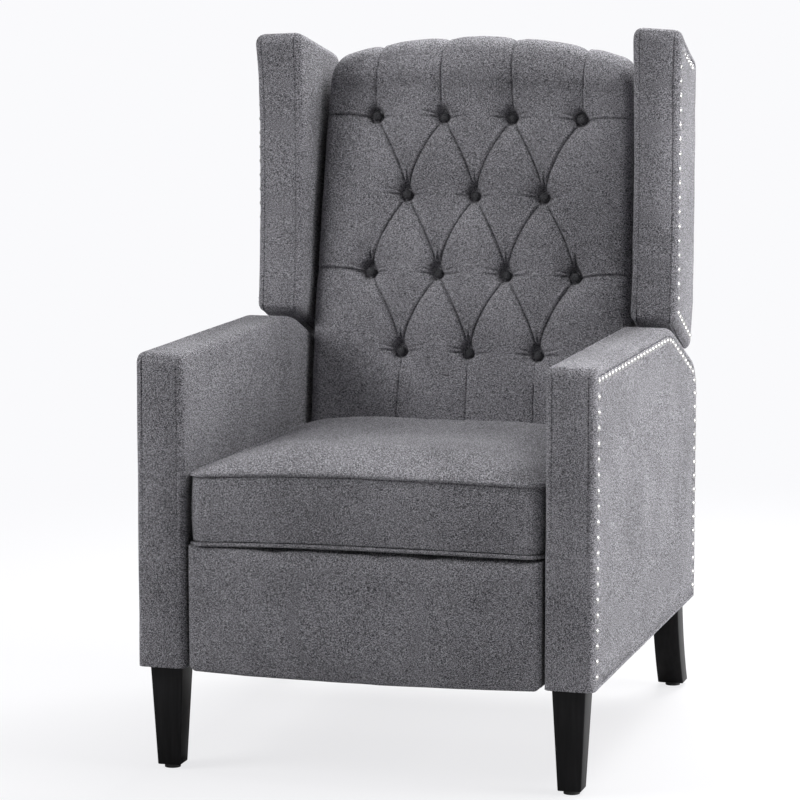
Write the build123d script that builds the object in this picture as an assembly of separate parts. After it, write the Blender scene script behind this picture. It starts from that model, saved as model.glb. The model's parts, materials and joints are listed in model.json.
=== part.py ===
from build123d import *
import math
import os

# Wingback push-back recliner, in millimetres. X runs across the chair, the front faces -Y and
# Z rises from the floor. Depths (y) are measured back from the arms' front faces; at the end every
# piece is moved by FOOTPRINT_CENTRE_Y, so that the origin stands at the middle of the footprint.

# ---- Driving sizes ---------------------------------------------------------------------------
# Arms
ARM_OUTER_X = 345
ARM_THICKNESS = 74
ARM_DEPTH = 767
ARM_BOTTOM_Z = 158
ARM_TOP_Z = 625
ARM_NOSE_RADIUS = 14
ARM_SLOPE = 21.8
ARM_SLOPE_REAR_Z = 536
ARM_SLOPE_RADIUS = 200
ARM_REAR_RADIUS = 62
ARM_PADDING = 12
ARM_EDGE_RADIUS = 7
ARM_RAIL_HEIGHT = 45

# Legs and glides
LEG_HEIGHT = 152
LEG_INSET = 40
GLIDE_HEIGHT = ARM_BOTTOM_Z - LEG_HEIGHT
GLIDE_RADIUS = 12
FRONT_LEG_TOP = 50
FRONT_LEG_FOOT = 35
FRONT_LEG_Y = 38
REAR_LEG_WIDTH = 42
REAR_LEG_SETBACK = 7
REAR_LEG_TOP_DEPTH = 45
REAR_LEG_FOOT_DEPTH = 38
REAR_LEG_RAKE = 57
REAR_LEG_BEND = 9
LEG_BOLT_RADIUS = 4
LEG_BOLT_REACH = 30

# Cross rails of the fixed base
STRETCHER_BOTTOM_Z = 165
MIDDLE_STRETCHER_Y = 345
MIDDLE_STRETCHER_DEPTH = 40
MIDDLE_STRETCHER_HEIGHT = 60
REAR_STRETCHER_DEPTH = 30
REAR_STRETCHER_HEIGHT = 80
REAR_PANEL_THICKNESS = 10
REAR_PANEL_TOP_Z = 280

# Seat tracks: a channel on each arm and a runner on each seat rail
TRACK_FRONT_Y = 32
TRACK_REAR_GAP = 32
TRACK_BOTTOM_Z = 250
TRACK_HEIGHT = 40
TRACK_DEPTH = 15
TRACK_WALL = 3
TRACK_CLEARANCE = 0.3
TRACK_SCREW_INSET = 9
TRACK_SCREW_RADIUS = 3
TRACK_SCREW_LENGTH = 40
RUNNER_FRONT_Y = 75
RUNNER_REAR_GAP = 50

# Seat frame
SEAT_RAIL_OUTER_X = 249
SEAT_RAIL_THICKNESS = 27
SEAT_RAIL_TOP_Z = 335
SEAT_RAIL_HEIGHT = 70
SEAT_FRAME_FRONT_Y = 50
SEAT_FRAME_REAR_GAP = 40
FRONT_RAIL_DEPTH = 60
FRONT_RAIL_THICKNESS = 11
MIDDLE_RAIL_Y = 215
MIDDLE_RAIL_HEIGHT = 60
SEAT_DECK_THICKNESS = 7
SEAT_DECK_HALF_WIDTH = 258
SEAT_CUSHION_HALF_WIDTH = 265
SEAT_CUSHION_FRONT_Y = 2
SEAT_CUSHION_BOW = 22
SEAT_CUSHION_REAR_GAP = 33
SEAT_CUSHION_SIDE_Z = 441
SEAT_CUSHION_CROWN = 28
SEAT_CUSHION_CORNER = 26
SEAT_CUSHION_SWELL = 7
SEAT_CUSHION_CROWN_REACH = 150
BOXING_STEPS = 8
CROWN_STEPS = 7

# Elastic webbing under the seat and behind the back
WEBBING_WIDTH = 60
WEBBING_THICKNESS = 2.5
WEBBING_MARGIN = 6
SEAT_STRAP_COUNT = 5
SEAT_STRAP_SPACING = 88
BACK_STRAP_COUNT = 4
BACK_STRAP_SPACING = 104

# Back: a tufted cushion plane that leans back about the hinge at the seat frame's rear
BACK_LEAN = 8.5
BACK_PLANE_DEPTH = 160
BACK_PLANE_Z = 450
BACK_OVERHANG = 3
BACK_POST_THICKNESS = 27
BACK_POST_OUTER_X = 248.5
BACK_POST_INSET = 32
BACK_POST_BOTTOM_Z = 335
BACK_POST_TOP_Z = 1000
BACK_RAIL_THICKNESS = 28
BACK_TOP_RAIL_HEIGHT = 55
BACK_BOTTOM_RAIL_RISE = 12
BACK_BOTTOM_RAIL_HEIGHT = 55
BACK_TOP_RAIL_DROP = 6
OUTER_PANEL_THICKNESS = 8
OUTER_PANEL_HALF_WIDTH = 266
OUTER_PANEL_FOOT_GAP = 5
OUTER_PANEL_TAPER_TOP_Z = 540
HINGE_DEPTH = 120
HINGE_Z = 300
HINGE_LUG_RADIUS = 18
HINGE_PLATE_THICKNESS = 4
HINGE_PLATE_LENGTH = 85
HINGE_PIN_RADIUS = 5
HINGE_PIN_HEAD_RADIUS = 8
HINGE_PIN_HEAD = 4.5
HINGE_BUSH_WALL = 2
RUNNING_CLEARANCE = 0.05

# Back cushion and its tufting
BACK_CUSHION_HALF_WIDTH = 262
BACK_CUSHION_BOTTOM_Z = 425
BACK_CUSHION_SWELL = 27
BACK_CUSHION_SIDE_SWELL = 17
BACK_CUSHION_REST_GAP = 0.2
BACK_CUSHION_CREST_RISE = 66
BACK_CUSHION_CORNER_DROP = 26
BACK_CUSHION_CORNER = 28
BACK_CUSHION_ROLL_DROP = 15
BACK_CUSHION_ROLL_REAR = 14
BACK_CUSHION_SIDE_BOW = 4
BUTTON_RADIUS = 8.5
BUTTON_HEIGHT = 6
BUTTON_ROW_PITCH = 126.5
BUTTON_FIRST_ROW = 112
BUTTON_COLUMN_PITCH = 113
BUTTON_ROWS = 4
PIT_RADIUS = 34
PIT_CLEARANCE = 0.5
PIT_OVERRUN = 5
PLEAT_DEPTH = 15
PLEAT_WIDTH = 30
PLEAT_SHOULDER_DEPTH = 6
PLEAT_SHOULDER_WIDTH = 70
PLEAT_OVERRUN = 20
PLEAT_FAN = 1.03
PLEAT_SIDE_DROP = 10
PLEAT_ROLL_DROP = -2
PLEAT_CREST_DROP = 36
PLEAT_REACH = 60
SHOULDER_REACH = 18

# Wings
WING_DEPTH = 188
WING_FRONT_HOLLOW = 15
WING_HOLLOW_LOW_GAP = 14
WING_HOLLOW_HIGH_GAP = 40
WING_CORNER_RADII = [20, 24, 24, 18, 8]
WING_TOP_FRONT_Z = 1084
WING_TOP_REAR_Z = 1030
WING_BOTTOM_FRONT_Z = 630
WING_BOTTOM_SLOPE_GAP = 20
WING_BOTTOM_SLOPE_Z = 563
WING_REAR_CORNER_Z = 640
WING_TAPER = 9
WING_EDGE_RADIUS = 10
WING_PADDING = 14
WING_BOARD_X = 300
WING_BOARD_THICKNESS = 18
WING_CLEAT_GAP = 35
WING_CLEAT_DEPTH = 30
WING_CLEAT_BOTTOM_Z = 660
WING_CLEAT_TOP_Z = 940

# Nail heads
NAIL_RADIUS = 5.2
NAIL_HEIGHT = 2.8
NAIL_PITCH = 22.5
ARM_NAIL_INSET = 19
WING_NAIL_INSET = 17
WING_NAIL_LOW_INSET = 9
WING_NAIL_HIGH_INSET = 31

# Footrest panel and its links. Link joints are (y, z) points of the closed footrest.
FOOTREST_HALF_WIDTH = 264
FOOTREST_BOTTOM_Z = 154
FOOTREST_TOP_Z = 343
FOOTREST_SIDE_Y = -1
FOOTREST_BOW = 24
FOOTREST_REAR_Y = 30
FOOTREST_CORNER = 12
FOOTREST_EDGE = 6
FOOTREST_BOARD_THICKNESS = 15
FOOTREST_BOARD_MARGIN = 20
LINK_THICKNESS = 4
LINK_GAP = 0.5
LINK_END_RADIUS = 10
LINK_RIVET_RADIUS = 4
LINK_HEAD_RADIUS = 7
LINK_HEAD = 3
LINK_SPACER_RADIUS = 6
REAR_LINK_PIVOT = (113, 304)
KNEE_PIVOT = (305, 194)
PANEL_PIVOT = (50, 251)
CONTROL_OFFSET = (-44, 9.8)
TILT_LINK_KNEE = (319, 214.2)
TILT_LINK_PANEL = (102, 280)
TILT_HOLE_PLAY = 1.6
CROSS_TUBE_RADIUS = 8
CROSS_TUBE_WALL = 1.5
REAR_TUBE_POINT = (247.2, 236.4)
FRONT_TUBE_POINT = (134.2, 232.2)
BRACKET_FLANGE = 30

# ---- Places worked out from the sizes ----------------------------------------------------------
ARM_INNER_X = ARM_OUTER_X - ARM_THICKNESS
ARM_FRAME_INNER_X = ARM_INNER_X + ARM_PADDING
ARM_FRAME_OUTER_X = ARM_OUTER_X - ARM_PADDING
FRONT_POST_REAR_Y = ARM_PADDING + ARM_RAIL_HEIGHT
REAR_POST_REAR_Y = ARM_DEPTH - ARM_PADDING
REAR_POST_FRONT_Y = REAR_POST_REAR_Y - ARM_RAIL_HEIGHT
LEG_X = ARM_OUTER_X - LEG_INSET
REAR_LEG_TOP_Y = REAR_POST_FRONT_Y + REAR_LEG_SETBACK
REAR_LEG_Y = REAR_LEG_TOP_Y + REAR_LEG_TOP_DEPTH / 2
REAR_STRETCHER_Y = REAR_POST_REAR_Y - REAR_PANEL_THICKNESS - REAR_STRETCHER_DEPTH
TRACK_REAR_Y = ARM_DEPTH - TRACK_REAR_GAP
TRACK_MIDDLE_Z = TRACK_BOTTOM_Z + TRACK_HEIGHT / 2
FRONT_SCREW_Y = TRACK_FRONT_Y + TRACK_SCREW_INSET
REAR_SCREW_Y = TRACK_REAR_Y - TRACK_SCREW_INSET
BACK_REAR_Y = ARM_DEPTH + BACK_OVERHANG
BACK_PLANE_Y = BACK_REAR_Y - BACK_PLANE_DEPTH
HINGE_Y = BACK_REAR_Y - HINGE_DEPTH
HINGE_PLATE_FRONT_Y = HINGE_Y - HINGE_PLATE_LENGTH
SEAT_FRAME_REAR_Y = HINGE_Y - SEAT_FRAME_REAR_GAP
SEAT_CUSHION_REAR_Y = BACK_PLANE_Y - SEAT_CUSHION_REAR_GAP
RUNNER_REAR_Y = SEAT_FRAME_REAR_Y - RUNNER_REAR_GAP
WING_FRONT_Y = BACK_REAR_Y - WING_DEPTH
WING_BOTTOM_SLOPE_Y = BACK_REAR_Y - WING_BOTTOM_SLOPE_GAP
WING_CLEAT_Y = BACK_REAR_Y - WING_CLEAT_GAP
SEAT_RAIL_INNER_X = SEAT_RAIL_OUTER_X - SEAT_RAIL_THICKNESS
SEAT_RAIL_BOTTOM_Z = SEAT_RAIL_TOP_Z - SEAT_RAIL_HEIGHT
DECK_BOTTOM_Z = SEAT_RAIL_TOP_Z + WEBBING_THICKNESS
SEAT_CUSHION_BOTTOM_Z = DECK_BOTTOM_Z + SEAT_DECK_THICKNESS
BACK_CUSHION_ROLL_FRONT_Z = BACK_POST_TOP_Z - BACK_CUSHION_ROLL_DROP
BACK_CUSHION_CREST_Z = BACK_POST_TOP_Z + BACK_CUSHION_CREST_RISE
BACK_CUSHION_CORNER_Z = BACK_CUSHION_CREST_Z - BACK_CUSHION_CORNER_DROP
BACK_POST_INNER_X = BACK_POST_OUTER_X - BACK_POST_THICKNESS
LEAN_COSINE = math.cos(math.radians(BACK_LEAN))
TOP_RAIL_HIGH = (BACK_POST_TOP_Z - BACK_PLANE_Z) / LEAN_COSINE - BACK_TOP_RAIL_DROP
TOP_RAIL_LOW = TOP_RAIL_HIGH - BACK_TOP_RAIL_HEIGHT
BOTTOM_RAIL_LOW = (BACK_POST_BOTTOM_Z + BACK_BOTTOM_RAIL_RISE - BACK_PLANE_Z) / LEAN_COSINE
BOTTOM_RAIL_HIGH = BOTTOM_RAIL_LOW + BACK_BOTTOM_RAIL_HEIGHT
OUTER_PANEL_REAR_Y = BACK_REAR_Y + OUTER_PANEL_THICKNESS
HINGE_BUSH_RADIUS = HINGE_PIN_RADIUS + RUNNING_CLEARANCE + HINGE_BUSH_WALL
CONTROL_LINK_PIVOT = (REAR_LINK_PIVOT[0] + CONTROL_OFFSET[0], REAR_LINK_PIVOT[1] + CONTROL_OFFSET[1])
CONTROL_LINK_KNEE = (KNEE_PIVOT[0] + CONTROL_OFFSET[0], KNEE_PIVOT[1] + CONTROL_OFFSET[1])
LINK_PITCH = LINK_THICKNESS + LINK_GAP
TILT_LAYER_X = SEAT_RAIL_INNER_X - LINK_PITCH
REAR_LAYER_X = TILT_LAYER_X - LINK_PITCH
FRONT_LAYER_X = REAR_LAYER_X - LINK_PITCH
CONTROL_LAYER_X = FRONT_LAYER_X - LINK_PITCH
FOOTPRINT_FRONT_Y = FOOTREST_SIDE_Y - FOOTREST_BOW
FOOTPRINT_REAR_Y = REAR_LEG_TOP_Y + REAR_LEG_RAKE + REAR_LEG_FOOT_DEPTH
FOOTPRINT_CENTRE_Y = (FOOTPRINT_FRONT_Y + FOOTPRINT_REAR_Y) / 2
FAR = 2000


# ---- Helpers ------------------------------------------------------------------------------------
def block(x0, x1, y0, y1, z0, z1):
    """A box between two corners."""
    return Pos((x0 + x1) / 2, (y0 + y1) / 2, (z0 + z1) / 2) * Box(x1 - x0, y1 - y0, z1 - z0)


def side_slab(outline, x0, x1):
    """A closed (y, z) outline drawn on the side plane and made solid from x0 to x1."""
    return Pos(x0, 0, 0) * extrude(Plane.YZ * make_face(outline), amount=x1 - x0)


def rod(x0, x1, y, z, radius):
    """A round bar along X."""
    return Pos((x0 + x1) / 2, y, z) * Rot(0, 90, 0) * Cylinder(radius, x1 - x0)


def pair(solid):
    """A piece on the chair's right and its mirror image on the left."""
    return [solid, mirror(solid, about=Plane.YZ)]


def round_side(solid, side, radius, above):
    """Round the outline of the outermost (+1) or innermost (-1) side face, except its lowest edge."""
    upright = solid.faces().filter_by(lambda face: abs(face.normal_at().X) > 0.9).sort_by(Axis.X)
    face = upright[-1] if side > 0 else upright[0]
    edges = [edge for edge in face.edges() if edge.center().Z > above]
    return fillet(edges, radius)


def leaned(x, behind, up):
    """The place that lies this far behind the button plane and this far up it."""
    return Pos(x, BACK_PLANE_Y, BACK_PLANE_Z) * Rot(-BACK_LEAN, 0, 0) * Pos(0, behind, up)


def plane_y(z, behind=0):
    """Depth of the leaning plane at a height, this far behind the buttons."""
    slope = math.tan(math.radians(BACK_LEAN))
    return BACK_PLANE_Y + (z - BACK_PLANE_Z) * slope + behind / LEAN_COSINE


def up_plane(z):
    """Distance up the button plane at which it reaches a height."""
    return (z - BACK_PLANE_Z) / LEAN_COSINE


# ---- Arms ---------------------------------------------------------------------------------------
def arm_edge(inset, foot_z):
    """Front, top, slope and rear edge of the arm, drawn in by an inset and open at the foot."""
    slope = math.radians(ARM_SLOPE)
    top = ARM_TOP_Z - inset
    rear = ARM_DEPTH - inset
    rear_z = ARM_SLOPE_REAR_Z + inset * math.tan(slope) - inset / math.cos(slope)
    bend_y = rear - (top - rear_z) / math.tan(slope)
    points = [(inset, foot_z), (inset, top), (bend_y, top), (rear, rear_z), (rear, foot_z)]
    radii = [max(ARM_NOSE_RADIUS - inset, 1), ARM_SLOPE_RADIUS - inset, ARM_REAR_RADIUS - inset]
    return FilletPolyline(*points, radius=radii)


def arm_outline(inset, foot_z):
    """The arm's edge closed along its foot."""
    foot = Line((ARM_DEPTH - inset, foot_z), (inset, foot_z))
    return arm_edge(inset, foot_z) + foot


def arm_frame():
    """Posts and rails that fill the padded cover from inside, and their bolt and screw holes."""
    core = side_slab(arm_outline(ARM_PADDING, ARM_BOTTOM_Z), ARM_FRAME_INNER_X, ARM_FRAME_OUTER_X)
    below_rail = side_slab(
        arm_outline(ARM_PADDING + ARM_RAIL_HEIGHT, 0), ARM_FRAME_INNER_X, ARM_FRAME_OUTER_X
    )
    between = block(0, FAR, FRONT_POST_REAR_Y, REAR_POST_FRONT_Y, 0, FAR)
    low = block(0, FAR, 0, FAR, 0, ARM_BOTTOM_Z + ARM_RAIL_HEIGHT)
    front_post = (core & block(0, FAR, 0, FRONT_POST_REAR_Y, 0, FAR)) - screw_hole(FRONT_SCREW_Y)
    front_post -= leg_bolt_hole(FRONT_LEG_Y)
    rear_post = (core & block(0, FAR, REAR_POST_FRONT_Y, FAR, 0, FAR)) - screw_hole(REAR_SCREW_Y)
    rear_post -= leg_bolt_hole(REAR_LEG_Y)
    top_rail = (core - below_rail) & between
    bottom_rail = core & between & low
    return front_post, rear_post, top_rail - low, bottom_rail


def screw_hole(y):
    """Hole for a countersunk track screw, from inside the chair into a post."""
    start = ARM_INNER_X - TRACK_DEPTH
    end = ARM_INNER_X + TRACK_SCREW_LENGTH
    return rod(start, end, y, TRACK_MIDDLE_Z, TRACK_SCREW_RADIUS + RUNNING_CLEARANCE)


def leg_bolt_hole(y):
    """Hole for the bolt that stands half in a leg and half in the post above it."""
    reach = LEG_BOLT_REACH + TRACK_CLEARANCE
    return Pos(LEG_X, y, ARM_BOTTOM_Z) * Cylinder(LEG_BOLT_RADIUS + RUNNING_CLEARANCE, 2 * reach)


def arm_cover():
    """Padded cover of one arm, open along the bottom where the frame shows."""
    cover = side_slab(arm_outline(0, ARM_BOTTOM_Z), ARM_INNER_X, ARM_OUTER_X)
    cover = round_side(cover, 1, ARM_EDGE_RADIUS, ARM_BOTTOM_Z + 1)
    cover = round_side(cover, -1, ARM_EDGE_RADIUS, ARM_BOTTOM_Z + 1)
    hollow = side_slab(arm_outline(ARM_PADDING, 0), ARM_FRAME_INNER_X, ARM_FRAME_OUTER_X)
    return cover - hollow - screw_hole(FRONT_SCREW_Y) - screw_hole(REAR_SCREW_Y)


# ---- Nail heads ----------------------------------------------------------------------------------
def dome(radius, height):
    """A round cap that rises along +Z from its flat back at z = 0."""
    ball = (radius**2 + height**2) / (2 * height)
    return Pos(0, 0, height - ball) * Sphere(ball) & block(-FAR, FAR, -FAR, FAR, 0, FAR)


def nail_row(path, place):
    """Nail heads spaced evenly along a (y, z) path, each put where place(y, z) says."""
    head = Rot(0, 90, 0) * dome(NAIL_RADIUS, NAIL_HEIGHT)
    count = round(path.length / NAIL_PITCH)
    points = [path.position_at(i / count) for i in range(count + 1)]
    return [place(point.X, point.Y) * head for point in points]


def arm_nails():
    """The row round the front, top, slope and rear edge of an arm's outer face."""
    path = Wire(arm_edge(ARM_NAIL_INSET, ARM_BOTTOM_Z + ARM_NAIL_INSET).edges())
    return nail_row(path, lambda y, z: Pos(ARM_OUTER_X, y, z))


# ---- Legs ----------------------------------------------------------------------------------------
def front_leg():
    """Square leg, tapered evenly to its foot."""
    foot = Pos(LEG_X, FRONT_LEG_Y, GLIDE_HEIGHT) * Rectangle(FRONT_LEG_FOOT, FRONT_LEG_FOOT)
    top = Pos(LEG_X, FRONT_LEG_Y, ARM_BOTTOM_Z) * Rectangle(FRONT_LEG_TOP, FRONT_LEG_TOP)
    return loft([foot, top]) - leg_bolt_hole(FRONT_LEG_Y)


def rear_leg():
    """Sabre leg that sweeps backwards to its foot."""
    middle_z = (GLIDE_HEIGHT + ARM_BOTTOM_Z) / 2
    foot_y = REAR_LEG_TOP_Y + REAR_LEG_RAKE
    top_rear_y = REAR_LEG_TOP_Y + REAR_LEG_TOP_DEPTH
    foot_rear_y = foot_y + REAR_LEG_FOOT_DEPTH
    front_middle = ((REAR_LEG_TOP_Y + foot_y) / 2 - REAR_LEG_BEND, middle_z)
    rear_middle = ((top_rear_y + foot_rear_y) / 2 - REAR_LEG_BEND, middle_z)
    front = ThreePointArc((REAR_LEG_TOP_Y, ARM_BOTTOM_Z), front_middle, (foot_y, GLIDE_HEIGHT))
    foot = Line((foot_y, GLIDE_HEIGHT), (foot_rear_y, GLIDE_HEIGHT))
    rear = ThreePointArc((foot_rear_y, GLIDE_HEIGHT), rear_middle, (top_rear_y, ARM_BOTTOM_Z))
    top = Line((top_rear_y, ARM_BOTTOM_Z), (REAR_LEG_TOP_Y, ARM_BOTTOM_Z))
    half = REAR_LEG_WIDTH / 2
    leg = side_slab(front + foot + rear + top, LEG_X - half, LEG_X + half)
    return leg - leg_bolt_hole(REAR_LEG_Y)


def leg_glides():
    """Round nylon glides under the four feet."""
    rear_foot_y = REAR_LEG_TOP_Y + REAR_LEG_RAKE + REAR_LEG_FOOT_DEPTH / 2
    glide = Cylinder(GLIDE_RADIUS, GLIDE_HEIGHT)
    front = Pos(LEG_X, FRONT_LEG_Y, GLIDE_HEIGHT / 2) * glide
    rear = Pos(LEG_X, rear_foot_y, GLIDE_HEIGHT / 2) * glide
    return pair(front) + pair(rear)


def leg_bolts():
    """Double-ended bolts between the legs and the posts."""
    bolt = Cylinder(LEG_BOLT_RADIUS, 2 * LEG_BOLT_REACH)
    front = Pos(LEG_X, FRONT_LEG_Y, ARM_BOTTOM_Z) * bolt
    rear = Pos(LEG_X, REAR_LEG_Y, ARM_BOTTOM_Z) * bolt
    return pair(front) + pair(rear)


# ---- Fixed base between the arms -----------------------------------------------------------------
def stretcher(y, depth, height):
    """A cross rail from arm to arm."""
    top = STRETCHER_BOTTOM_Z + height
    return block(-ARM_INNER_X, ARM_INNER_X, y, y + depth, STRETCHER_BOTTOM_Z, top)


def rear_panel():
    """Covered board that closes the chair's back under the reclining part."""
    front = REAR_STRETCHER_Y + REAR_STRETCHER_DEPTH
    rear = front + REAR_PANEL_THICKNESS
    return block(-ARM_INNER_X, ARM_INNER_X, front, rear, STRETCHER_BOTTOM_Z, REAR_PANEL_TOP_Z)


def seat_track():
    """Channel screwed to the arm's inner face, open towards the seat."""
    inner_x = ARM_INNER_X - TRACK_DEPTH
    web_x = ARM_INNER_X - TRACK_WALL
    top = TRACK_BOTTOM_Z + TRACK_HEIGHT
    channel = block(inner_x, ARM_INNER_X, TRACK_FRONT_Y, TRACK_REAR_Y, TRACK_BOTTOM_Z, top)
    slot = block(0, web_x, 0, FAR, TRACK_BOTTOM_Z + TRACK_WALL, top - TRACK_WALL)
    return channel - slot - screw_hole(FRONT_SCREW_Y) - screw_hole(REAR_SCREW_Y)


def track_screws():
    """Countersunk screws through track, cover and post, flush with the channel's web."""
    start = ARM_INNER_X - TRACK_WALL
    end = ARM_INNER_X + TRACK_SCREW_LENGTH - TRACK_CLEARANCE
    rear = rod(start, end, REAR_SCREW_Y, TRACK_MIDDLE_Z, TRACK_SCREW_RADIUS)
    return pair(rod(start, end, FRONT_SCREW_Y, TRACK_MIDDLE_Z, TRACK_SCREW_RADIUS)) + pair(rear)


# ---- Seat ----------------------------------------------------------------------------------------
def seat_side_rail():
    """Side rail with the holes of the footrest's two link bolts."""
    rail = block(
        SEAT_RAIL_INNER_X,
        SEAT_RAIL_OUTER_X,
        SEAT_FRAME_FRONT_Y,
        SEAT_FRAME_REAR_Y,
        SEAT_RAIL_BOTTOM_Z,
        SEAT_RAIL_TOP_Z,
    )
    for y, z in (REAR_LINK_PIVOT, CONTROL_LINK_PIVOT):
        rail -= rod(0, SEAT_RAIL_OUTER_X, y, z, LINK_RIVET_RADIUS + RUNNING_CLEARANCE)
    return rail


def seat_cross_rail(y, depth, height):
    """Cross rail between the seat's side rails, level with their tops."""
    low = SEAT_RAIL_TOP_Z - height
    return block(-SEAT_RAIL_INNER_X, SEAT_RAIL_INNER_X, y, y + depth, low, SEAT_RAIL_TOP_Z)


def seat_runner():
    """Bar on the seat rail's outer face that slides in the arm's channel."""
    end_x = ARM_INNER_X - TRACK_WALL - TRACK_CLEARANCE
    low = TRACK_BOTTOM_Z + TRACK_WALL + TRACK_CLEARANCE
    high = TRACK_BOTTOM_Z + TRACK_HEIGHT - TRACK_WALL - TRACK_CLEARANCE
    return block(SEAT_RAIL_OUTER_X, end_x, RUNNER_FRONT_Y, RUNNER_REAR_Y, low, high)


def seat_webbing():
    """Elastic straps stretched from the front rail to the rear rail."""
    start = SEAT_FRAME_FRONT_Y + WEBBING_MARGIN
    end = SEAT_FRAME_REAR_Y - WEBBING_MARGIN
    strap = block(0, WEBBING_WIDTH, start, end, SEAT_RAIL_TOP_Z, SEAT_RAIL_TOP_Z + WEBBING_THICKNESS)
    first = -(SEAT_STRAP_COUNT - 1) / 2 * SEAT_STRAP_SPACING - WEBBING_WIDTH / 2
    return [Pos(first + i * SEAT_STRAP_SPACING, 0, 0) * strap for i in range(SEAT_STRAP_COUNT)]


def seat_deck():
    """Felt deck between the webbing and the cushion."""
    return block(
        -SEAT_DECK_HALF_WIDTH,
        SEAT_DECK_HALF_WIDTH,
        SEAT_FRAME_FRONT_Y,
        SEAT_FRAME_REAR_Y - WEBBING_MARGIN,
        DECK_BOTTOM_Z,
        SEAT_CUSHION_BOTTOM_Z,
    )


def cushion_section(inset, z):
    """Plan of the seat cushion at a height, drawn in by an inset: bowed front, rounded corners."""
    half = SEAT_CUSHION_HALF_WIDTH - inset
    front = SEAT_CUSHION_FRONT_Y + inset
    rear = SEAT_CUSHION_REAR_Y - inset
    outline = ThreePointArc((-half, front), (0, front - SEAT_CUSHION_BOW), (half, front))
    outline += Polyline((half, front), (half, rear), (-half, rear), (-half, front))
    face = make_face(outline)
    face = fillet(face.vertices().sort_by(Axis.Y)[:2], SEAT_CUSHION_CORNER)
    return Pos(0, 0, z) * fillet(face.vertices().sort_by(Axis.Y)[-2:], SEAT_CUSHION_CORNER / 2)


def seat_cushion():
    """Box cushion: boxing that swells between its two seams, and a crowned top."""
    bottom = SEAT_CUSHION_BOTTOM_Z
    seam = SEAT_CUSHION_SIDE_Z
    swell = SEAT_CUSHION_SWELL
    sections = []
    for step in range(BOXING_STEPS + 1):
        share = step / BOXING_STEPS
        sections.append(cushion_section(swell * (2 * share - 1) ** 4, bottom + share * (seam - bottom)))
    for step in range(1, CROWN_STEPS + 1):
        share = step / CROWN_STEPS
        rise = SEAT_CUSHION_CROWN * (1 - (1 - share) ** 2.4)
        sections.append(cushion_section(swell + SEAT_CUSHION_CROWN_REACH * share**1.6, seam + rise))
    return loft(sections, ruled=True)


# ---- Hinge between seat and back -----------------------------------------------------------------
def hinge_plate():
    """Steel plate on the seat rail that carries the back's pivot beside its post."""
    outer_x = SEAT_RAIL_OUTER_X + HINGE_PLATE_THICKNESS
    low = HINGE_Z - HINGE_LUG_RADIUS
    high = HINGE_Z + HINGE_LUG_RADIUS
    bar = block(SEAT_RAIL_OUTER_X, outer_x, HINGE_PLATE_FRONT_Y, HINGE_Y, low, high)
    plate = bar + rod(SEAT_RAIL_OUTER_X, outer_x, HINGE_Y, HINGE_Z, HINGE_LUG_RADIUS)
    return plate - rod(0, FAR, HINGE_Y, HINGE_Z, HINGE_PIN_RADIUS + RUNNING_CLEARANCE)


def hinge_pin():
    """Shoulder bolt: its head outside the plate, its shank through plate and post."""
    head_x = SEAT_RAIL_OUTER_X + HINGE_PLATE_THICKNESS
    shank = rod(BACK_POST_INNER_X, head_x, HINGE_Y, HINGE_Z, HINGE_PIN_RADIUS)
    return shank + rod(head_x, head_x + HINGE_PIN_HEAD, HINGE_Y, HINGE_Z, HINGE_PIN_HEAD_RADIUS)


def hinge_bush():
    """Nylon bush in the back post, running on the pin."""
    bush = rod(BACK_POST_INNER_X, BACK_POST_OUTER_X, HINGE_Y, HINGE_Z, HINGE_BUSH_RADIUS)
    return bush - rod(0, FAR, HINGE_Y, HINGE_Z, HINGE_PIN_RADIUS + RUNNING_CLEARANCE)


# ---- Back frame ----------------------------------------------------------------------------------
def back_post():
    """Post cut from plywood: front edge leaning, rear edge upright, a lug round the hinge pin."""
    bottom = BACK_POST_BOTTOM_Z
    top = BACK_POST_TOP_Z
    lug = HINGE_LUG_RADIUS
    outline = Polyline(
        (HINGE_Y - lug, HINGE_Z),
        (plane_y(bottom, BACK_POST_INSET), bottom),
        (plane_y(top, BACK_POST_INSET), top),
        (BACK_REAR_Y, top),
        (BACK_REAR_Y, bottom),
        (HINGE_Y + lug, HINGE_Z),
        close=True,
    )
    post = side_slab(outline, BACK_POST_INNER_X, BACK_POST_OUTER_X)
    post += rod(BACK_POST_INNER_X, BACK_POST_OUTER_X, HINGE_Y, HINGE_Z, lug)
    return post - rod(0, FAR, HINGE_Y, HINGE_Z, HINGE_BUSH_RADIUS)


def back_rail(low_up, high_up):
    """Cross rail between the posts, from one distance up the plane to another."""
    height = high_up - low_up
    rail = Box(2 * BACK_POST_INNER_X, BACK_RAIL_THICKNESS, height)
    return leaned(0, BACK_POST_INSET + BACK_RAIL_THICKNESS / 2, low_up + height / 2) * rail


def back_webbing():
    """Elastic straps stretched up the front of the back's two rails."""
    low = BOTTOM_RAIL_LOW + WEBBING_MARGIN
    high = TOP_RAIL_HIGH - WEBBING_MARGIN
    strap = Box(WEBBING_WIDTH, WEBBING_THICKNESS, high - low)
    behind = BACK_POST_INSET - WEBBING_THICKNESS / 2
    first = -(BACK_STRAP_COUNT - 1) / 2 * BACK_STRAP_SPACING
    middle = (low + high) / 2
    places = [first + i * BACK_STRAP_SPACING for i in range(BACK_STRAP_COUNT)]
    return [leaned(x, behind, middle) * strap for x in places]


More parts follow.
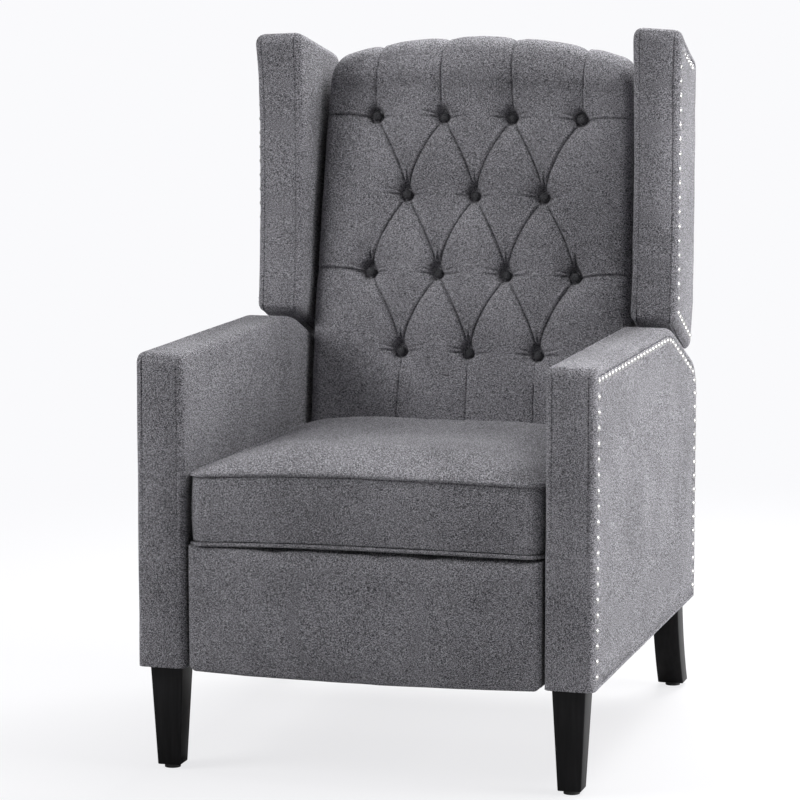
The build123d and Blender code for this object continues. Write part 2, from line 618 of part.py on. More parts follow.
def outer_back_panel():
    """Covered board over the rear of the posts, tapered at its foot to swing between the tracks."""
    half = OUTER_PANEL_HALF_WIDTH
    foot = ARM_INNER_X - TRACK_DEPTH - OUTER_PANEL_FOOT_GAP
    outline = Polyline(
        (-foot, BACK_POST_BOTTOM_Z),
        (foot, BACK_POST_BOTTOM_Z),
        (half, OUTER_PANEL_TAPER_TOP_Z),
        (half, BACK_POST_TOP_Z),
        (-half, BACK_POST_TOP_Z),
        (-half, OUTER_PANEL_TAPER_TOP_Z),
        close=True,
    )
    face = Plane.XZ * make_face(outline)
    return Pos(0, OUTER_PANEL_REAR_Y, 0) * extrude(face, amount=OUTER_PANEL_THICKNESS)


# ---- Tufted back cushion -------------------------------------------------------------------------
def button_places():
    """(x, distance up the plane) of every button: rows of three and four by turns, from the bottom."""
    places = []
    for row in range(BUTTON_ROWS):
        count = 3 if row % 2 == 0 else 4
        up = BUTTON_FIRST_ROW + row * BUTTON_ROW_PITCH
        for column in range(count):
            places.append(((column - (count - 1) / 2) * BUTTON_COLUMN_PITCH, up))
    return places


def diagonal_pleats():
    """Ends (x, extra depth, distance up) of the pleats between each button and the row above."""
    places = button_places()
    lines = []
    for x, up in places:
        for side in (-1, 1):
            above = (x + side * BUTTON_COLUMN_PITCH / 2, up + BUTTON_ROW_PITCH)
            if any(math.dist(above, place) < 1 for place in places):
                lines.append(((x, 0, up), (above[0], 0, above[1])))
    return lines


def edge_pleats():
    """Ends of the pleats from the outer buttons to the sides, the bottom and over the crest."""
    top_row = BUTTON_FIRST_ROW + (BUTTON_ROWS - 1) * BUTTON_ROW_PITCH
    roll_up = up_plane(BACK_CUSHION_ROLL_FRONT_Z)
    crest_up = up_plane(BACK_CUSHION_CREST_Z)
    edge_x = BACK_CUSHION_HALF_WIDTH + PLEAT_OVERRUN
    lines = []
    for x, up in button_places():
        start = (x, 0, up)
        if abs(x) > 1.25 * BUTTON_COLUMN_PITCH:
            lines.append((start, (math.copysign(edge_x, x), PLEAT_SIDE_DROP, up)))
        if up > top_row - 1:
            roll = (x, PLEAT_ROLL_DROP, roll_up)
            lines.append((start, roll))
            lines.append((roll, (x * PLEAT_FAN, PLEAT_CREST_DROP, crest_up)))
        if up < BUTTON_FIRST_ROW + 1:
            lines.append((start, (x, 0, -PLEAT_OVERRUN - BUTTON_FIRST_ROW / 2)))
    return lines


def groove(start, end, width, depth, reach):
    """V-shaped bar between two pleat ends, its edge this deep under the swollen front."""
    bottom = depth - BACK_CUSHION_SWELL
    first = Vector(start[0], start[1] + bottom, start[2])
    along = Vector(end[0], end[1] + bottom, end[2]) - first
    outwards = Vector(0, -1, 0)
    across = Plane(origin=first, x_dir=outwards.cross(along), z_dir=along)
    half = width / 2 * reach / depth
    section = Polyline((0, 0), (half, reach), (-half, reach), close=True)
    return leaned(0, 0, 0) * extrude(across * make_face(section), amount=along.length)


def cushion_body():
    """The cushion before tufting: swollen front, crowned top that rolls back over the top rail."""
    half = BACK_CUSHION_HALF_WIDTH
    low = BACK_CUSHION_BOTTOM_Z
    roll_z = BACK_CUSHION_ROLL_FRONT_Z
    rest_z = BACK_POST_TOP_Z + BACK_CUSHION_REST_GAP
    behind = BACK_POST_INSET - WEBBING_THICKNESS - BACK_CUSHION_REST_GAP
    front_low = (plane_y(low, -BACK_CUSHION_SWELL), low)
    front_high = (plane_y(roll_z, -BACK_CUSHION_SWELL), roll_z)
    crest = ((front_high[0] + OUTER_PANEL_REAR_Y) / 2, BACK_CUSHION_CREST_Z)
    rear_top = (OUTER_PANEL_REAR_Y, rest_z + BACK_CUSHION_ROLL_REAR)
    profile = Line(front_low, front_high)
    profile += ThreePointArc(front_high, crest, rear_top)
    profile += Polyline(
        rear_top,
        (rear_top[0], rest_z),
        (plane_y(rest_z, behind), rest_z),
        (plane_y(low, behind), low),
        front_low,
    )
    corner_z = BACK_CUSHION_CORNER_Z
    waist = half - BACK_CUSHION_SIDE_BOW
    waist_z = (low + corner_z) / 2
    front_view = ThreePointArc((-half, corner_z), (0, BACK_CUSHION_CREST_Z), (half, corner_z))
    front_view += ThreePointArc((half, corner_z), (waist, waist_z), (half, low))
    front_view += Line((half, low), (-half, low))
    front_view += ThreePointArc((-half, low), (-waist, waist_z), (-half, corner_z))
    wide = Pos(0, FAR, 0) * extrude(Plane.XZ * make_face(front_view), amount=FAR)
    side_y = -BACK_CUSHION_SIDE_SWELL
    plan = ThreePointArc((-half, side_y), (0, -BACK_CUSHION_SWELL), (half, side_y))
    plan += Polyline((half, side_y), (half, FAR / 4), (-half, FAR / 4), (-half, side_y))
    swollen = leaned(0, 0, -FAR / 4) * extrude(make_face(plan), amount=FAR)
    body = side_slab(profile, -half, half) & wide & swollen
    at_side = [edge for edge in body.edges() if abs(edge.center().X) > half - 2 * BACK_CUSHION_SIDE_BOW]
    upright = [edge for edge in at_side if edge.length > (roll_z - low) / 2]
    front = [edge for edge in upright if edge.center().Y < plane_y(edge.center().Z)]
    return fillet(front, BACK_CUSHION_CORNER / 2)


def back_cushion():
    """The cushion with a soft shoulder and a sharp fold along each pleat and a pit at each button."""
    cushion = cushion_body()
    for start, end in diagonal_pleats():
        cushion -= groove(start, end, PLEAT_SHOULDER_WIDTH, PLEAT_SHOULDER_DEPTH, SHOULDER_REACH)
    for start, end in diagonal_pleats() + edge_pleats():
        cushion -= groove(start, end, PLEAT_WIDTH, PLEAT_DEPTH, PLEAT_REACH)
    depth = BACK_CUSHION_SWELL + PIT_OVERRUN
    flare = (PIT_RADIUS - BUTTON_RADIUS) * depth / BACK_CUSHION_SWELL
    pit = Cone(BUTTON_RADIUS + PIT_CLEARANCE, BUTTON_RADIUS + flare, depth)
    for x, up in button_places():
        cushion -= leaned(x, -depth / 2, up) * Rot(90, 0, 0) * pit
    return cushion


def back_buttons():
    """Covered buttons that stand on the pits' floors."""
    button = Rot(90, 0, 0) * dome(BUTTON_RADIUS, BUTTON_HEIGHT)
    return [leaned(x, 0, up) * button for x, up in button_places()]


# ---- Wings ---------------------------------------------------------------------------------------
def wing_outline(inset):
    """Side view of a wing: hollow front edge, top and bottom that fall to the rear."""
    rear = OUTER_PANEL_REAR_Y - inset
    front = WING_FRONT_Y + inset
    top_fall = (WING_TOP_FRONT_Z - WING_TOP_REAR_Z) / (OUTER_PANEL_REAR_Y - WING_FRONT_Y)
    bottom_fall = (WING_BOTTOM_FRONT_Z - WING_BOTTOM_SLOPE_Z) / (WING_BOTTOM_SLOPE_Y - WING_FRONT_Y)
    top_front = WING_TOP_FRONT_Z - inset * (1 + top_fall)
    bottom_front = WING_BOTTOM_FRONT_Z + inset * (1 - bottom_fall)
    hollow_low = (front, bottom_front + WING_HOLLOW_LOW_GAP)
    hollow_high = (front, top_front - WING_HOLLOW_HIGH_GAP)
    middle = (front + WING_FRONT_HOLLOW, (hollow_low[1] + hollow_high[1]) / 2)
    points = [
        hollow_high,
        (front, top_front),
        (rear, WING_TOP_REAR_Z - inset),
        (rear, WING_REAR_CORNER_Z + inset / 2),
        (WING_BOTTOM_SLOPE_Y - inset, WING_BOTTOM_SLOPE_Z + inset * (1 + bottom_fall)),
        (front, bottom_front),
        hollow_low,
    ]
    edge = FilletPolyline(*points, radius=WING_CORNER_RADII)
    return edge + ThreePointArc(hollow_low, middle, hollow_high)


def wing_plan():
    """Plan of a wing: its outer face draws in towards the rear."""
    rear_x = ARM_OUTER_X - WING_TAPER
    return Polyline(
        (ARM_INNER_X, WING_FRONT_Y),
        (ARM_OUTER_X, WING_FRONT_Y),
        (rear_x, OUTER_PANEL_REAR_Y),
        (ARM_INNER_X, OUTER_PANEL_REAR_Y),
        close=True,
    )


def wing_cleat(clearance):
    """Block that ties the wing board to the back post, with a clearance round it."""
    return block(
        BACK_POST_OUTER_X,
        WING_BOARD_X,
        WING_CLEAT_Y - clearance,
        WING_CLEAT_Y + WING_CLEAT_DEPTH + clearance,
        WING_CLEAT_BOTTOM_Z - clearance,
        WING_CLEAT_TOP_Z + clearance,
    )


def wing_board():
    """Plywood core of a wing."""
    return side_slab(wing_outline(WING_PADDING), WING_BOARD_X, WING_BOARD_X + WING_BOARD_THICKNESS)


def wing_cover():
    """Padded cover round the wing board, with the cleat's slot in its inner face."""
    cover = side_slab(wing_outline(0), ARM_INNER_X, ARM_OUTER_X)
    cover &= extrude(make_face(wing_plan()), amount=FAR)
    cover = round_side(cover, 1, WING_EDGE_RADIUS, 0)
    cover = round_side(cover, -1, WING_EDGE_RADIUS, 0)
    return cover - wing_board() - wing_cleat(RUNNING_CLEARANCE)


def wing_nails():
    """The row along the bottom, front and top edges of a wing's outer face."""
    front = WING_FRONT_Y + WING_FRONT_HOLLOW / 2 + WING_NAIL_INSET
    low = WING_BOTTOM_FRONT_Z + WING_NAIL_LOW_INSET
    high = WING_TOP_FRONT_Z - WING_NAIL_HIGH_INSET
    top_fall = (WING_TOP_FRONT_Z - WING_TOP_REAR_Z) / (OUTER_PANEL_REAR_Y - WING_FRONT_Y)
    bottom_fall = (WING_BOTTOM_FRONT_Z - WING_BOTTOM_SLOPE_Z) / (WING_BOTTOM_SLOPE_Y - WING_FRONT_Y)
    reach = WING_BOTTOM_SLOPE_Y - WING_NAIL_INSET - front
    points = [
        (front + reach, low - reach * bottom_fall),
        (front, low),
        (front, high),
        (front + reach, high - reach * top_fall),
    ]
    path = Wire(Polyline(*points).edges())
    taper = WING_TAPER / (OUTER_PANEL_REAR_Y - WING_FRONT_Y)
    slant = Rot(0, 0, math.degrees(math.atan(taper)))
    return nail_row(path, lambda y, z: Pos(ARM_OUTER_X - taper * (y - WING_FRONT_Y), y, z) * slant)


# ---- Footrest panel ------------------------------------------------------------------------------
def footrest_board():
    """Plywood board let into the panel's back."""
    half = FOOTREST_HALF_WIDTH - FOOTREST_BOARD_MARGIN
    front = FOOTREST_REAR_Y - FOOTREST_BOARD_THICKNESS
    low = FOOTREST_BOTTOM_Z + FOOTREST_BOARD_MARGIN
    return block(-half, half, front, FOOTREST_REAR_Y, low, FOOTREST_TOP_Z - FOOTREST_BOARD_MARGIN)


def footrest_pad():
    """Padded front of the footrest: bowed forward, rounded at its lower corners."""
    half = FOOTREST_HALF_WIDTH
    side_y = FOOTREST_SIDE_Y
    plan = ThreePointArc((-half, side_y), (0, side_y - FOOTREST_BOW), (half, side_y))
    plan += Polyline((half, side_y), (half, FOOTREST_REAR_Y), (-half, FOOTREST_REAR_Y), (-half, side_y))
    pad = extrude(make_face(plan), amount=FAR)
    front_view = FilletPolyline(
        (-half, FOOTREST_TOP_Z),
        (-half, FOOTREST_BOTTOM_Z),
        (half, FOOTREST_BOTTOM_Z),
        (half, FOOTREST_TOP_Z),
        radius=[FOOTREST_CORNER, FOOTREST_CORNER],
    )
    front_view += Line((half, FOOTREST_TOP_Z), (-half, FOOTREST_TOP_Z))
    pad &= Pos(0, FAR / 2, 0) * extrude(Plane.XZ * make_face(front_view), amount=FAR)
    front_edges = [edge for edge in pad.edges() if edge.center().Y < side_y + FOOTREST_EDGE / 2]
    return fillet(front_edges, FOOTREST_EDGE) - footrest_board()


# ---- Footrest links ------------------------------------------------------------------------------
def link_plate(layer_x, joints, radius=LINK_END_RADIUS, play=RUNNING_CLEARANCE):
    """Flat steel link: rounded ends round its joints, straight edges between, a hole at each."""
    outline = make_hull([edge for y, z in joints for edge in (Pos(y, z) * Circle(radius)).edges()])
    plate = Pos(layer_x, 0, 0) * extrude(Plane.YZ * outline, amount=LINK_THICKNESS)
    for y, z in joints:
        plate -= rod(0, FAR, y, z, LINK_RIVET_RADIUS + play)
    return plate


def rivet(x0, x1, joint, head=0):
    """Rivet from x0 to x1 at a joint, with a head of this thickness on its inner end."""
    y, z = joint
    pin = rod(x0, x1, y, z, LINK_RIVET_RADIUS)
    if head:
        pin += rod(x0 - head, x0, y, z, LINK_HEAD_RADIUS)
    return pin


def rear_links():
    """Bell-crank plates that swing down and forward from the seat's side rails."""
    return pair(link_plate(REAR_LAYER_X, [REAR_LINK_PIVOT, KNEE_PIVOT, TILT_LINK_KNEE]))


def front_links():
    """Links that carry the panel, level from the knee to the panel pivot."""
    plate = link_plate(FRONT_LAYER_X, [KNEE_PIVOT, PANEL_PIVOT])
    y, z = CONTROL_LINK_KNEE
    return pair(plate - rod(0, FAR, y, z, LINK_RIVET_RADIUS + RUNNING_CLEARANCE))


def control_link():
    """Link that runs beside the rear link and keeps the front link level."""
    return link_plate(CONTROL_LAYER_X, [CONTROL_LINK_PIVOT, CONTROL_LINK_KNEE], LINK_END_RADIUS - 1)


def tilt_link():
    """Link from the knee to the panel's bracket, with play in its bracket hole."""
    link = link_plate(TILT_LAYER_X, [TILT_LINK_KNEE, TILT_LINK_PANEL], LINK_END_RADIUS - 1)
    y, z = TILT_LINK_PANEL
    return link - rod(0, FAR, y, z, LINK_RIVET_RADIUS + TILT_HOLE_PLAY)


def cross_tube(point, layer_x):
    """Tube across the chair that joins the left and right link plates of one layer."""
    y, z = point
    tube = rod(-layer_x, layer_x, y, z, CROSS_TUBE_RADIUS)
    return tube - rod(-FAR, FAR, y, z, CROSS_TUBE_RADIUS - CROSS_TUBE_WALL)


def seat_link_bolts():
    """Bolts and spacers on the seat rail's inner face for the rear and control links."""
    bolts = []
    for joint, layer_x in ((REAR_LINK_PIVOT, REAR_LAYER_X), (CONTROL_LINK_PIVOT, CONTROL_LAYER_X)):
        bolt = rivet(layer_x, SEAT_RAIL_OUTER_X, joint, head=LINK_HEAD)
        spacer = rod(layer_x + LINK_PITCH, SEAT_RAIL_INNER_X, *joint, LINK_SPACER_RADIUS)
        bolts += pair(bolt + spacer)
    return bolts


def rear_link_rivets():
    """Flush rivets at the knee and at the tilt link's rear end."""
    knee = rivet(FRONT_LAYER_X, REAR_LAYER_X + LINK_THICKNESS, KNEE_PIVOT)
    tilt = rivet(REAR_LAYER_X, TILT_LAYER_X + LINK_THICKNESS, TILT_LINK_KNEE)
    return pair(knee) + pair(tilt)


def front_link_rivets():
    """Rivets at the control link's knee end and at the panel pivot."""
    control = rivet(CONTROL_LAYER_X, FRONT_LAYER_X + LINK_THICKNESS, CONTROL_LINK_KNEE, head=LINK_HEAD)
    panel = rivet(FRONT_LAYER_X, REAR_LAYER_X + LINK_THICKNESS, PANEL_PIVOT, head=LINK_HEAD)
    return pair(control) + pair(panel)


def footrest_brackets():
    """Angle brackets on the panel's board, with ears for the front and tilt links."""
    root = [(FOOTREST_REAR_Y + LINK_END_RADIUS, z) for z in (PANEL_PIVOT[1], TILT_LINK_PANEL[1])]
    ear_joints = [PANEL_PIVOT, TILT_LINK_PANEL] + root
    discs = [Pos(y, z) * Circle(LINK_END_RADIUS) for y, z in ear_joints]
    outline = make_hull([edge for disc in discs for edge in disc.edges()])
    ear = Pos(REAR_LAYER_X, 0, 0) * extrude(Plane.YZ * outline, amount=LINK_THICKNESS)
    for y, z in (PANEL_PIVOT, TILT_LINK_PANEL):
        ear -= rod(0, FAR, y, z, LINK_RIVET_RADIUS + RUNNING_CLEARANCE)
    foot_x = REAR_LAYER_X + LINK_THICKNESS
    low = PANEL_PIVOT[1] - LINK_END_RADIUS
    high = TILT_LINK_PANEL[1] + LINK_END_RADIUS
    rear = FOOTREST_REAR_Y + LINK_THICKNESS
    flange = block(foot_x - BRACKET_FLANGE, foot_x, FOOTREST_REAR_Y, rear, low, high)
    return pair(ear + flange)


def bracket_rivets():
    """Flush rivets that hold the tilt links to the brackets."""
    return pair(rivet(REAR_LAYER_X, TILT_LAYER_X + LINK_THICKNESS, TILT_LINK_PANEL))


# ---- All pieces ------------------------------------------------------------------------------
def all_pieces():
    """Every node's name with its solids."""
    front_post, rear_post, top_rail, bottom_rail = arm_frame()
    right_rail = seat_side_rail()
    right_post = back_post()
    nodes = {
        "arm_front_posts": pair(front_post),
        "arm_rear_posts": pair(rear_post),
        "arm_top_rails": pair(top_rail),
        "arm_bottom_rails": pair(bottom_rail),
        "arm_nails": [part for nail in arm_nails() for part in pair(nail)],
        "leg_glides": leg_glides(),
        "leg_bolts": leg_bolts(),
        "middle_stretcher": [
            stretcher(MIDDLE_STRETCHER_Y, MIDDLE_STRETCHER_DEPTH, MIDDLE_STRETCHER_HEIGHT)
        ],
        "rear_stretcher": [stretcher(REAR_STRETCHER_Y, REAR_STRETCHER_DEPTH, REAR_STRETCHER_HEIGHT)],
        "rear_lower_panel": [rear_panel()],
        "track_screws": track_screws(),
        "seat_front_rail": [
            seat_cross_rail(SEAT_FRAME_FRONT_Y, FRONT_RAIL_DEPTH, FRONT_RAIL_THICKNESS)
        ],
        "seat_middle_rail": [seat_cross_rail(MIDDLE_RAIL_Y, SEAT_RAIL_THICKNESS, MIDDLE_RAIL_HEIGHT)],
        "seat_rear_rail": [
            seat_cross_rail(
                SEAT_FRAME_REAR_Y - SEAT_RAIL_THICKNESS, SEAT_RAIL_THICKNESS, SEAT_RAIL_HEIGHT
            )
        ],
        "seat_runners": pair(seat_runner()),
        "seat_webbing": seat_webbing(),
        "seat_deck": [seat_deck()],
        "seat_cushion": [seat_cushion()],
        "hinge_plates": pair(hinge_plate()),
        "hinge_pins": pair(hinge_pin()),
        "hinge_bushes": pair(hinge_bush()),
        "back_top_rail": [back_rail(TOP_RAIL_LOW, TOP_RAIL_HIGH)],
        "back_bottom_rail": [back_rail(BOTTOM_RAIL_LOW, BOTTOM_RAIL_HIGH)],
        "back_webbing": back_webbing(),
        "back_outer_panel": [outer_back_panel()],
        "back_cushion": [back_cushion()],
        "back_buttons": back_buttons(),
        "wing_boards": pair(wing_board()),
        "wing_cleats": pair(wing_cleat(0)),
        "wing_nails": [part for nail in wing_nails() for part in pair(nail)],
        "footrest_board": [footrest_board()],
        "footrest_pad": [footrest_pad()],
        "footrest_rear_links": rear_links(),
        "rear_link_tube": [cross_tube(REAR_TUBE_POINT, REAR_LAYER_X)],
        "rear_link_rivets": rear_link_rivets(),
        "footrest_front_links": front_links(),
        "front_link_tube": [cross_tube(FRONT_TUBE_POINT, FRONT_LAYER_X)],
        "front_link_rivets": front_link_rivets(),
        "seat_link_bolts": seat_link_bolts(),
        "footrest_brackets": footrest_brackets(),
        "bracket_rivets": bracket_rivets(),
    }
    sided = {
        "arm_cover": arm_cover(),
        "front_leg": front_leg(),
        "rear_leg": rear_leg(),
        "seat_track": seat_track(),
        "seat_side_rail": right_rail,
        "back_post": right_post,
        "wing_cover": wing_cover(),
        "control_link": control_link(),
        "tilt_link": tilt_link(),
    }
    for name, solid in sided.items():
        right, left = pair(solid)
        nodes[f"right_{name}"] = [right]
        nodes[f"left_{name}"] = [left]
    return nodes


def main():
    os.makedirs("parts", exist_ok=True)
    for name, solids in all_pieces().items():
        centred = [Pos(0, -FOOTPRINT_CENTRE_Y, 0) * solid for solid in solids]
        whole = [body for piece in centred for body in piece.solids()]
        shape = whole[0] if len(whole) == 1 else Compound(children=whole)
        export_step(shape, f"parts/{name}.step")


main()
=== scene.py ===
import bmesh
import bpy
import json
import math
import numpy as np
from mathutils import Matrix, Vector, noise

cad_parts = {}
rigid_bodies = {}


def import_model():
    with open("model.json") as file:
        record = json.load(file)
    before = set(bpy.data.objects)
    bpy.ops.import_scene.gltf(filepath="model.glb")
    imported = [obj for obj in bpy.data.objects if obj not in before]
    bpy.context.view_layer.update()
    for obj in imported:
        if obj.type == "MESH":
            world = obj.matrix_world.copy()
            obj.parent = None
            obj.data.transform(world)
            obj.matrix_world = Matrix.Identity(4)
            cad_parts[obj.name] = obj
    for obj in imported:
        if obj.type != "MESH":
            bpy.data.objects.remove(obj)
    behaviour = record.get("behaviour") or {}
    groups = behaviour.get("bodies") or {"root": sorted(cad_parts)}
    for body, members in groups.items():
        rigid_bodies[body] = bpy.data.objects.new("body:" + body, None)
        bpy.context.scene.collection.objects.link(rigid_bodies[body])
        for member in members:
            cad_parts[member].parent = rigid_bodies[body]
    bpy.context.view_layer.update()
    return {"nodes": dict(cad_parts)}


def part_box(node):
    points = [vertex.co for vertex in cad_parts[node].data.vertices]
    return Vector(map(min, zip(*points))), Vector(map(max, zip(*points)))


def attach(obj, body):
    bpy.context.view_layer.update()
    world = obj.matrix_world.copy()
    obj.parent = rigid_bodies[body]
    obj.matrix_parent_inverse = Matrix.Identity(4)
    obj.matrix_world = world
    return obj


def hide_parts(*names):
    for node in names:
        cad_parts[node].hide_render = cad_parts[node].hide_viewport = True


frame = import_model()

# ---- Arms --------------------------------------------------------------------
# Each arm is a wooden frame padded with foam and covered in grey linen-look weave: a boxing strip
# runs over its front, top, slope and rear edge, sewn to a side panel at each edge.
ARM_LOW, ARM_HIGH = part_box("right_arm_cover")
ARMS_FRONT_Y = ARM_LOW.y
ARM_SLOPE = math.radians(21.8)
ARM_REAR_TOP_Z = 0.536
ARM_NOSE_RADIUS, ARM_BEND_RADIUS, ARM_REAR_RADIUS = 0.017, 0.200, 0.062
ARM_OUTER_SWELL, ARM_INNER_SWELL, ARM_FRONT_SWELL = 0.0022, 0.0012, 0.0022
ARM_SWELL_RUN = 0.05
ARM_STEP = 0.024
PADDING_MIDDLE_X, PADDING_HALF = 0.308, 0.037
SIDE_ROUND = 0.009
PANEL_SEAM_IN, PANEL_SEAM_WIDTH, PANEL_SEAM_DEPTH = 0.003, 0.0014, 0.0016
ARM_STRIP_SEAM_IN, STRIP_SEAM_WIDTH, STRIP_SEAM_DEPTH = 0.0105, 0.0014, 0.0015
LINEN_DARK = (0.015, 0.015, 0.017, 1)
LINEN_MID = (0.172, 0.169, 0.186, 1)
LINEN_LIGHT = (0.56, 0.55, 0.59, 1)
UPRIGHT_SLUBS, LYING_SLUBS = (520, 220, 1500), (1300, 240, 520)
UPRIGHT_WARP, LYING_WARP = (1400, 480, 620), (620, 420, 620)
LOOSE_FIBRES = (1250, 520, 1250)


def node_maker(tree):
    """A function that adds a node, with a value or a wire for some inputs, and gives its outputs."""

    def node(kind, inputs=(), **settings):
        added = tree.nodes.new("ShaderNode" + kind)
        for key, value in settings.items():
            setattr(added, key, value)
        for key, value in dict(inputs).items():
            if isinstance(value, bpy.types.NodeSocket):
                tree.links.new(value, added.inputs[key])
            else:
                added.inputs[key].default_value = value
        return added.outputs

    return node


def material(name, roughness=0.5, metallic=0.0):
    """A new material with its shader, the place on the piece and a function that adds nodes."""
    made = bpy.data.materials.new(name)
    made.use_nodes = True
    shader = made.node_tree.nodes["Principled BSDF"]
    shader.inputs["Roughness"].default_value = roughness
    shader.inputs["Metallic"].default_value = metallic
    node = node_maker(made.node_tree)
    return made, shader, node("TexCoord")["Object"], node


def join(output, target):
    """Wire one socket to another."""
    target.id_data.links.new(output, target)


def ramp(node, value, stops):
    """A colour ramp over a value, with its stops as (place, colour)."""
    colour = node("ValToRGB", {0: value})["Color"]
    band = colour.node.color_ramp
    band.elements[0].position, band.elements[0].color = stops[0]
    band.elements[1].position, band.elements[1].color = stops[-1]
    for position, shade in stops[1:-1]:
        band.elements.new(position).color = shade
    return colour


def woven(name, dark, mid, light, thread=0.0015):
    """Heathered plain weave: slubbed threads both ways, light and dark fibres, soft nap."""
    made, shader, place, node = material(name, roughness=0.92)

    def strands(scale):
        """Noise drawn out along the threads; scale is how fine it is along each axis."""
        spot = node("Mapping", {"Vector": place, "Scale": scale})[0]
        return node("TexNoise", {"Vector": spot, "Scale": 1, "Detail": 1, "Roughness": 0.6})[0]

    def sine(value):
        """A wave with one crest for each thread."""
        turned = node("Math", {0: value, 1: 2 * math.pi / thread}, operation="MULTIPLY")[0]
        return node("Math", {0: turned}, operation="SINE")[0]

    facing = node("SeparateXYZ", {0: node("TexCoord")["Normal"]})["Z"]
    flat = node("Math", {0: facing}, operation="ABSOLUTE")[0]
    lying = node("MapRange", {0: flat, 1: 0.6, 2: 0.8})[0]
    slub = node("Mix", {0: lying, 2: strands(UPRIGHT_SLUBS), 3: strands(LYING_SLUBS)})[0]
    warp = node("Mix", {0: lying, 2: strands(UPRIGHT_WARP), 3: strands(LYING_WARP)})[0]
    fibre = strands(LOOSE_FIBRES)
    cloud = node("TexNoise", {"Vector": place, "Scale": 7, "Detail": 3, "Roughness": 0.5})[0]
    threads = node("Mix", {0: 0.45, 2: slub, 3: warp})[0]
    fleck = node("Mix", {0: 0.35, 2: threads, 3: fibre})[0]
    mixed = node("Mix", {0: 0.06, 2: fleck, 3: cloud})[0]
    colour = ramp(node, mixed, [(0.435, dark), (0.50, mid), (0.565, light)])
    join(colour, shader.inputs["Base Color"])
    axes = node("SeparateXYZ", {0: place})
    across = node("Math", {0: axes["X"], 1: axes["Y"]}, operation="ADD")[0]
    along = node("Math", {0: axes["X"], 1: axes["Y"]}, operation="SUBTRACT")[0]
    upward = node("Mix", {0: lying, 2: axes["Z"], 3: along})[0]
    crossing = node("Math", {0: sine(across), 1: sine(upward)}, operation="MULTIPLY")[0]
    relief = node("Math", {0: crossing, 1: 0.22, 2: mixed}, operation="MULTIPLY_ADD")[0]
    bump = node("Bump", {"Height": relief, "Strength": 0.8, "Distance": 0.0007})
    join(bump[0], shader.inputs["Normal"])
    shader.inputs["Specular IOR Level"].default_value = 0.2
    shader.inputs["Sheen Weight"].default_value = 0.12
    shader.inputs["Sheen Roughness"].default_value = 0.4
    return made


linen = woven("grey_linen", LINEN_DARK, LINEN_MID, LINEN_LIGHT)


def deselect():
    """Leave object mode with nothing selected."""
    if bpy.context.object and bpy.context.object.mode != "OBJECT":
        bpy.ops.object.mode_set(mode="OBJECT")
    bpy.ops.object.select_all(action="DESELECT")


def box_piece(name, low, high):
    """A cube primitive between two corners, with its place in its mesh."""
    deselect()
    middle = [(a + b) / 2 for a, b in zip(low, high)]
    bpy.ops.mesh.primitive_cube_add(size=1, location=middle)
    piece = bpy.context.object
    piece.name = name
    piece.scale = [b - a for a, b in zip(low, high)]
    bpy.ops.object.transform_apply(location=True, rotation=True, scale=True)
    return piece


def take(piece):
    """Select one piece alone, in object mode."""
    deselect()
    bpy.context.view_layer.objects.active = piece
    piece.select_set(True)


def edit(piece):
    """Open one piece in edit mode."""
    take(piece)
    bpy.ops.object.mode_set(mode="EDIT")


def pick(piece, kind, test):
    """Select what passes a test among the vertices, edges or faces of the piece being edited."""
    bpy.ops.mesh.select_mode(type=kind)
    bpy.ops.mesh.select_all(action="DESELECT")
    shape = bmesh.from_edit_mesh(piece.data)
    shape.normal_update()
    for part in {"VERT": shape.verts, "EDGE": shape.edges, "FACE": shape.faces}[kind]:
        part.select_set(test(part))
    shape.select_flush_mode()
    bmesh.update_edit_mesh(piece.data)


def middle_of(edge):
    """The middle of an edge."""
    return (edge.verts[0].co + edge.verts[1].co) / 2


def runs_across(edge):
    """True for an edge that runs along X."""
    way = edge.verts[1].co - edge.verts[0].co
    return abs(way.x) > 0.9 * way.length


def cut(point, normal, away=False):
    """Cut the whole piece by a plane; what lies past it may be taken away and the cut closed."""
    bpy.ops.mesh.select_all(action="SELECT")
    bpy.ops.mesh.bisect(plane_co=point, plane_no=normal, clear_outer=away, use_fill=away)


def bevel(offset, segments):
    """Round the selected edges."""
    bpy.ops.mesh.bevel(offset=offset, segments=segments)


def round_corner(piece, y, z, radius, turn, segments):
    """Round the crosswise edge at a corner where the outline turns by an angle."""

    def at_corner(edge):
        middle = middle_of(edge)
        return runs_across(edge) and math.hypot(middle.y - y, middle.z - z) < 0.003

    pick(piece, "EDGE", at_corner)
    setback = radius * math.tan(turn / 2)
    bevel(setback, segments)


def round_sides(piece, radius, segments):
    """Round the edges between the boxing strip and the two side panels."""

    def beside_panel(edge):
        square = len(edge.link_faces) == 2 and abs(edge.calc_face_angle(0) - math.pi / 2) < 0.3
        return square and not runs_across(edge)

    pick(piece, "EDGE", beside_panel)
    bevel(radius, segments)


def sew_panel(piece):
    """Press a sewn line into the outer side panel, inside its edge."""
    pick(piece, "FACE", lambda f: f.normal.x > 0.9999)
    bpy.ops.mesh.inset(thickness=PANEL_SEAM_IN, depth=0, use_boundary=True)
    bpy.ops.mesh.inset(thickness=PANEL_SEAM_WIDTH, depth=-PANEL_SEAM_DEPTH, use_boundary=True)
    bpy.ops.mesh.inset(thickness=PANEL_SEAM_WIDTH, depth=PANEL_SEAM_DEPTH, use_boundary=True)


